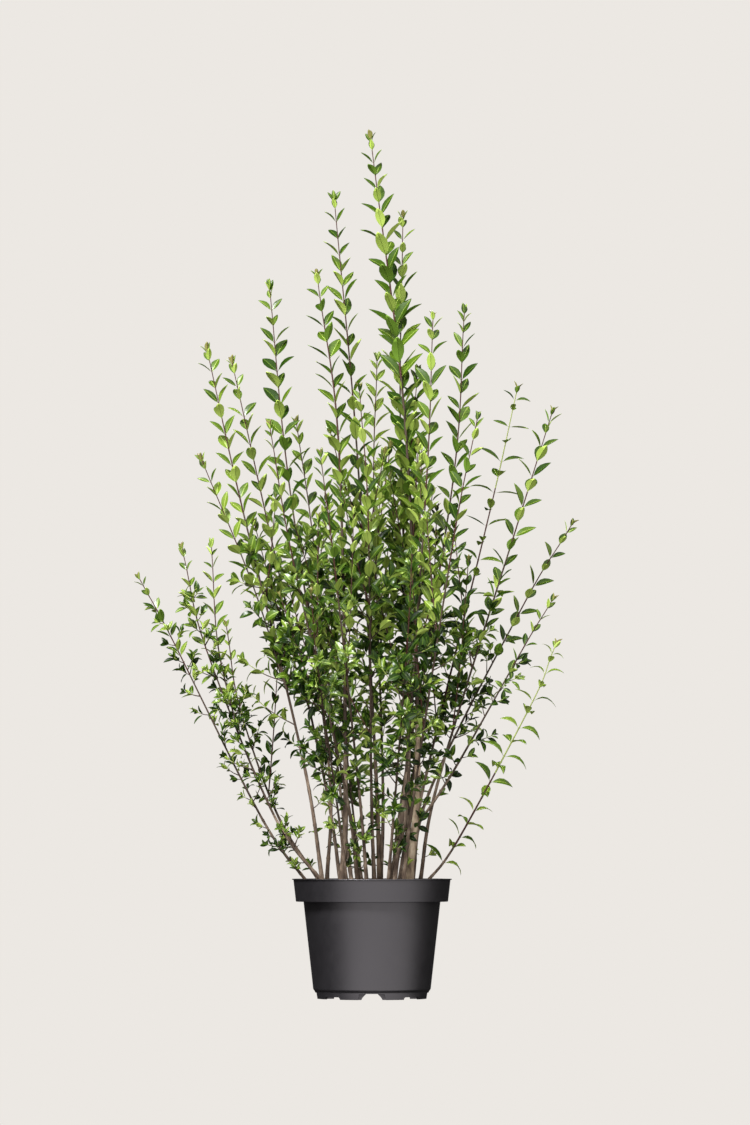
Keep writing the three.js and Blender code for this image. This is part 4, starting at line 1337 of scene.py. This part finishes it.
def surface_height(x, y):
    """Lumpy ground, a little mounded at the feet of the stems."""
    broad = noise.noise(Vector((x / LUMPS["size"], y / LUMPS["size"], LUMPS["layer"])))
    spot = Vector((x / CLODS["size"], y / CLODS["size"], CLODS["layer"]))
    clods = noise.fractal(spot, CLODS["roughness"], CLODS["gap"], CLODS["octaves"])
    mound = sum(math.exp(-((x - fx) ** 2 + (y - fy) ** 2) / MOUND["spread"]) for fx, fy in FEET)
    height = LUMPS["height"] * broad + CLODS["height"] * clods + MOUND["height"] * min(MOUND["most"], mound)
    return max(-MOST_UNEVEN, min(MOST_UNEVEN, height))


def ground(pile, edge):
    """The lumpy surface inside the pot's wall, and the filling's sides and underside below it."""
    angles = round_angles(COMPOST_SECTORS)
    rings = []
    for radius in edge * (np.arange(1, COMPOST_RINGS + 1) / COMPOST_RINGS) ** RING_SPREAD:
        fade = min(1, (edge - radius) / EDGE_FADE)
        places = [(radius * math.cos(angle), radius * math.sin(angle)) for angle in angles]
        rings.append([(x, y, COMPOST_TOP + fade * surface_height(x, y)) for x, y in places])
    for height, radius in (
        (LEDGE_HEIGHT + WALL + GAP, COLLAR_LOW_RADIUS - WALL - GAP),
        (LEDGE_HEIGHT + WALL + GAP - LEDGE_DROP, BODY_TOP_RADIUS - WALL - GAP),
        (BODY_LOW_HEIGHT, BODY_LOW_RADIUS - WALL - GAP),
        (FLOOR_TOP + GAP, FOOT_TOP_RADIUS - WALL - GAP),
    ):
        rings.append([(radius * math.cos(angle), radius * math.sin(angle), height) for angle in angles])
    middle = [[0, 0, COMPOST_TOP + surface_height(0, 0)], [0, 0, FLOOR_TOP + GAP]]
    points = np.vstack([np.array(rings).reshape(-1, 3), middle])
    index, quads = ring_quads(len(rings), COMPOST_SECTORS)
    quads = quads[:, [0, 3, 2, 1]]  # turned over, because the rings run from the top down
    top, bottom = len(points) - 2, len(points) - 1
    following = np.roll(index, -1, 1)
    caps = np.concatenate([np.stack([np.full(COMPOST_SECTORS, top), index[0], following[0]], axis=1),
                           np.stack([np.full(COMPOST_SECTORS, bottom), following[-1], index[-1]], axis=1)])
    corners = np.concatenate([quads.ravel(), caps.ravel()])
    sizes = np.concatenate([np.full(len(quads), 4), np.full(len(caps), 3)])
    pile.add(points, corners, sizes, np.zeros(len(sizes)), np.ones(len(sizes)))


# A crumb or a chip of bark before it is stretched
CRUMB_SHAPE = np.array([(1, 0, 0), (-1, 0, 0), (0, 1, 0), (0, -1, 0), (0, 0, 1), (0, 0, -1)], float)
CRUMB_FACES = np.array([(0, 2, 4), (2, 1, 4), (1, 3, 4), (3, 0, 4),
                        (2, 0, 5), (1, 2, 5), (3, 1, 5), (0, 3, 5)])


def crumbs(pile, edge):
    draw = seeded(CRUMBS["seed"])
    for _ in range(CRUMBS["count"]):
        radius, angle = (edge - CRUMBS["clear"]) * math.sqrt(next(draw)), next(draw) * 2 * math.pi
        x, y = radius * math.cos(angle), radius * math.sin(angle)
        chips = next(draw) < CHIP_SHARE
        size = CRUMBS["least"] + CRUMBS["more"] * next(draw) ** 2
        body = CRUMB_SHAPE * np.array(CHIP_STRETCH if chips else CRUMB_STRETCH) * size
        worn = np.array([next(draw) for _ in CRUMB_SHAPE])
        body = body * (CRUMBS["least_corner"] + CRUMBS["more_corner"] * worn)[:, None]
        body = spun(body, next(draw) * 2 * math.pi)
        height = COMPOST_TOP + surface_height(x, y) + CRUMBS["raised"] * size
        count = len(CRUMB_FACES)
        pile.add(body + [x, y, height], CRUMB_FACES.ravel(), np.full(count, 3), np.full(count, int(chips)),
                 np.zeros(count))


compost_pile = Pile()
compost_edge = compost_radius(COMPOST_TOP)
ground(compost_pile, compost_edge)
crumbs(compost_pile, compost_edge)
compost_pile.piece("compost_bed", [earth(), chip()], "compost", ["compost"])


# Studio: a pale round floor that bends up into a wall of the same colour, and soft light

# In metres
STUDIO = {"middle": 6.0, "floor": 24.0, "bend": 4.0, "height": 16.0, "segments": 96, "bend_steps": 16}
PAPER = (236, 232, 227)
KEY_LIGHT = {"place": (-1.3, -2.8, 3.25), "aim": (0, 0, 0.7), "size": (1.3, 1.1), "power": 465}
BACK_LIGHT = {"place": (0.8, 2.8, 2.9), "aim": (0, 0, 0.8), "size": (1.8, 1.4), "power": 330}
FRONT = (0.2, -0.89, 0.41)  # where most of the air's light comes from
AIR_IN_FRONT = 1.5
AIR_BEHIND = 0.03
AIR_TURNS_AT = 0.5  # how far towards the front the air is at full strength, out of 1
AIR_COLOUR = (1.0, 0.985, 0.95, 1)


def pale_paper():
    """Shines by itself and takes no light, so it is the same all round."""
    paper, _, shader = material("pale paper", (0, 0, 0), 1.0, 0.0)
    shader.inputs["Emission Color"].default_value = linear(*PAPER)
    shader.inputs["Emission Strength"].default_value = 1.0
    return paper


def turned_sheet(name, line, paper):
    """A sheet turned about the upright axis from a line of (radius, height), in metres."""
    segments = STUDIO["segments"]
    angles = round_angles(segments)
    points = [(radius * math.cos(a), radius * math.sin(a), height) for radius, height in line for a in angles]
    faces = ring_quads(len(line), segments)[1].tolist()
    if line[0][1] == line[1][1]:  # a level sheet has no hole in its middle
        faces.append(list(range(segments)))
    mesh = bpy.data.meshes.new(name)
    mesh.from_pydata(points, [], faces)
    mesh.materials.append(paper)
    sheet = added(name, mesh)
    sheet.visible_glossy = False
    sheet.visible_diffuse = False
    return sheet


def studio():
    paper = pale_paper()
    floor, bend = STUDIO["floor"], STUDIO["bend"]
    turned_sheet("studio_floor", [(STUDIO["middle"], 0.0), (floor, 0.0)], paper)
    slopes = np.linspace(0, math.pi / 2, STUDIO["bend_steps"])
    curve = [(floor + bend * math.sin(slope), bend * (1 - math.cos(slope))) for slope in slopes]
    wall = turned_sheet("studio_wall", curve + [(floor + bend, STUDIO["height"])], paper)
    wall.visible_shadow = False


def softbox(name, place, aim, size, power):
    light = bpy.data.lights.new(name, "AREA")
    light.shape = "RECTANGLE"
    light.size, light.size_y = size
    light.energy = power
    return aimed(name, light, place, aim)


def studio_air():
    """Soft light from a wide arc in front of the plant, and dim light from behind it."""
    world = bpy.data.worlds.new("studio air")
    world.use_nodes = True
    tree = world.node_tree
    place = tree.nodes.new("ShaderNodeTexCoord")
    facing = tree.nodes.new("ShaderNodeVectorMath")
    facing.operation = "DOT_PRODUCT"
    facing.inputs[1].default_value = FRONT
    tree.links.new(place.outputs["Generated"], facing.inputs[0])
    strength = between(tree, facing.outputs["Value"], AIR_BEHIND, AIR_IN_FRONT, 0.0, AIR_TURNS_AT)
    strength.node.interpolation_type = "SMOOTHSTEP"
    tree.links.new(strength, tree.nodes["Background"].inputs["Strength"])
    tree.nodes["Background"].inputs["Color"].default_value = AIR_COLOUR
    bpy.context.scene.world = world


studio()
studio_air()
softbox("key light", **KEY_LIGHT)
softbox("back light", **BACK_LIGHT).visible_glossy = False
bpy.context.scene.view_settings.view_transform = "Standard"
bpy.context.scene.view_settings.look = "None"
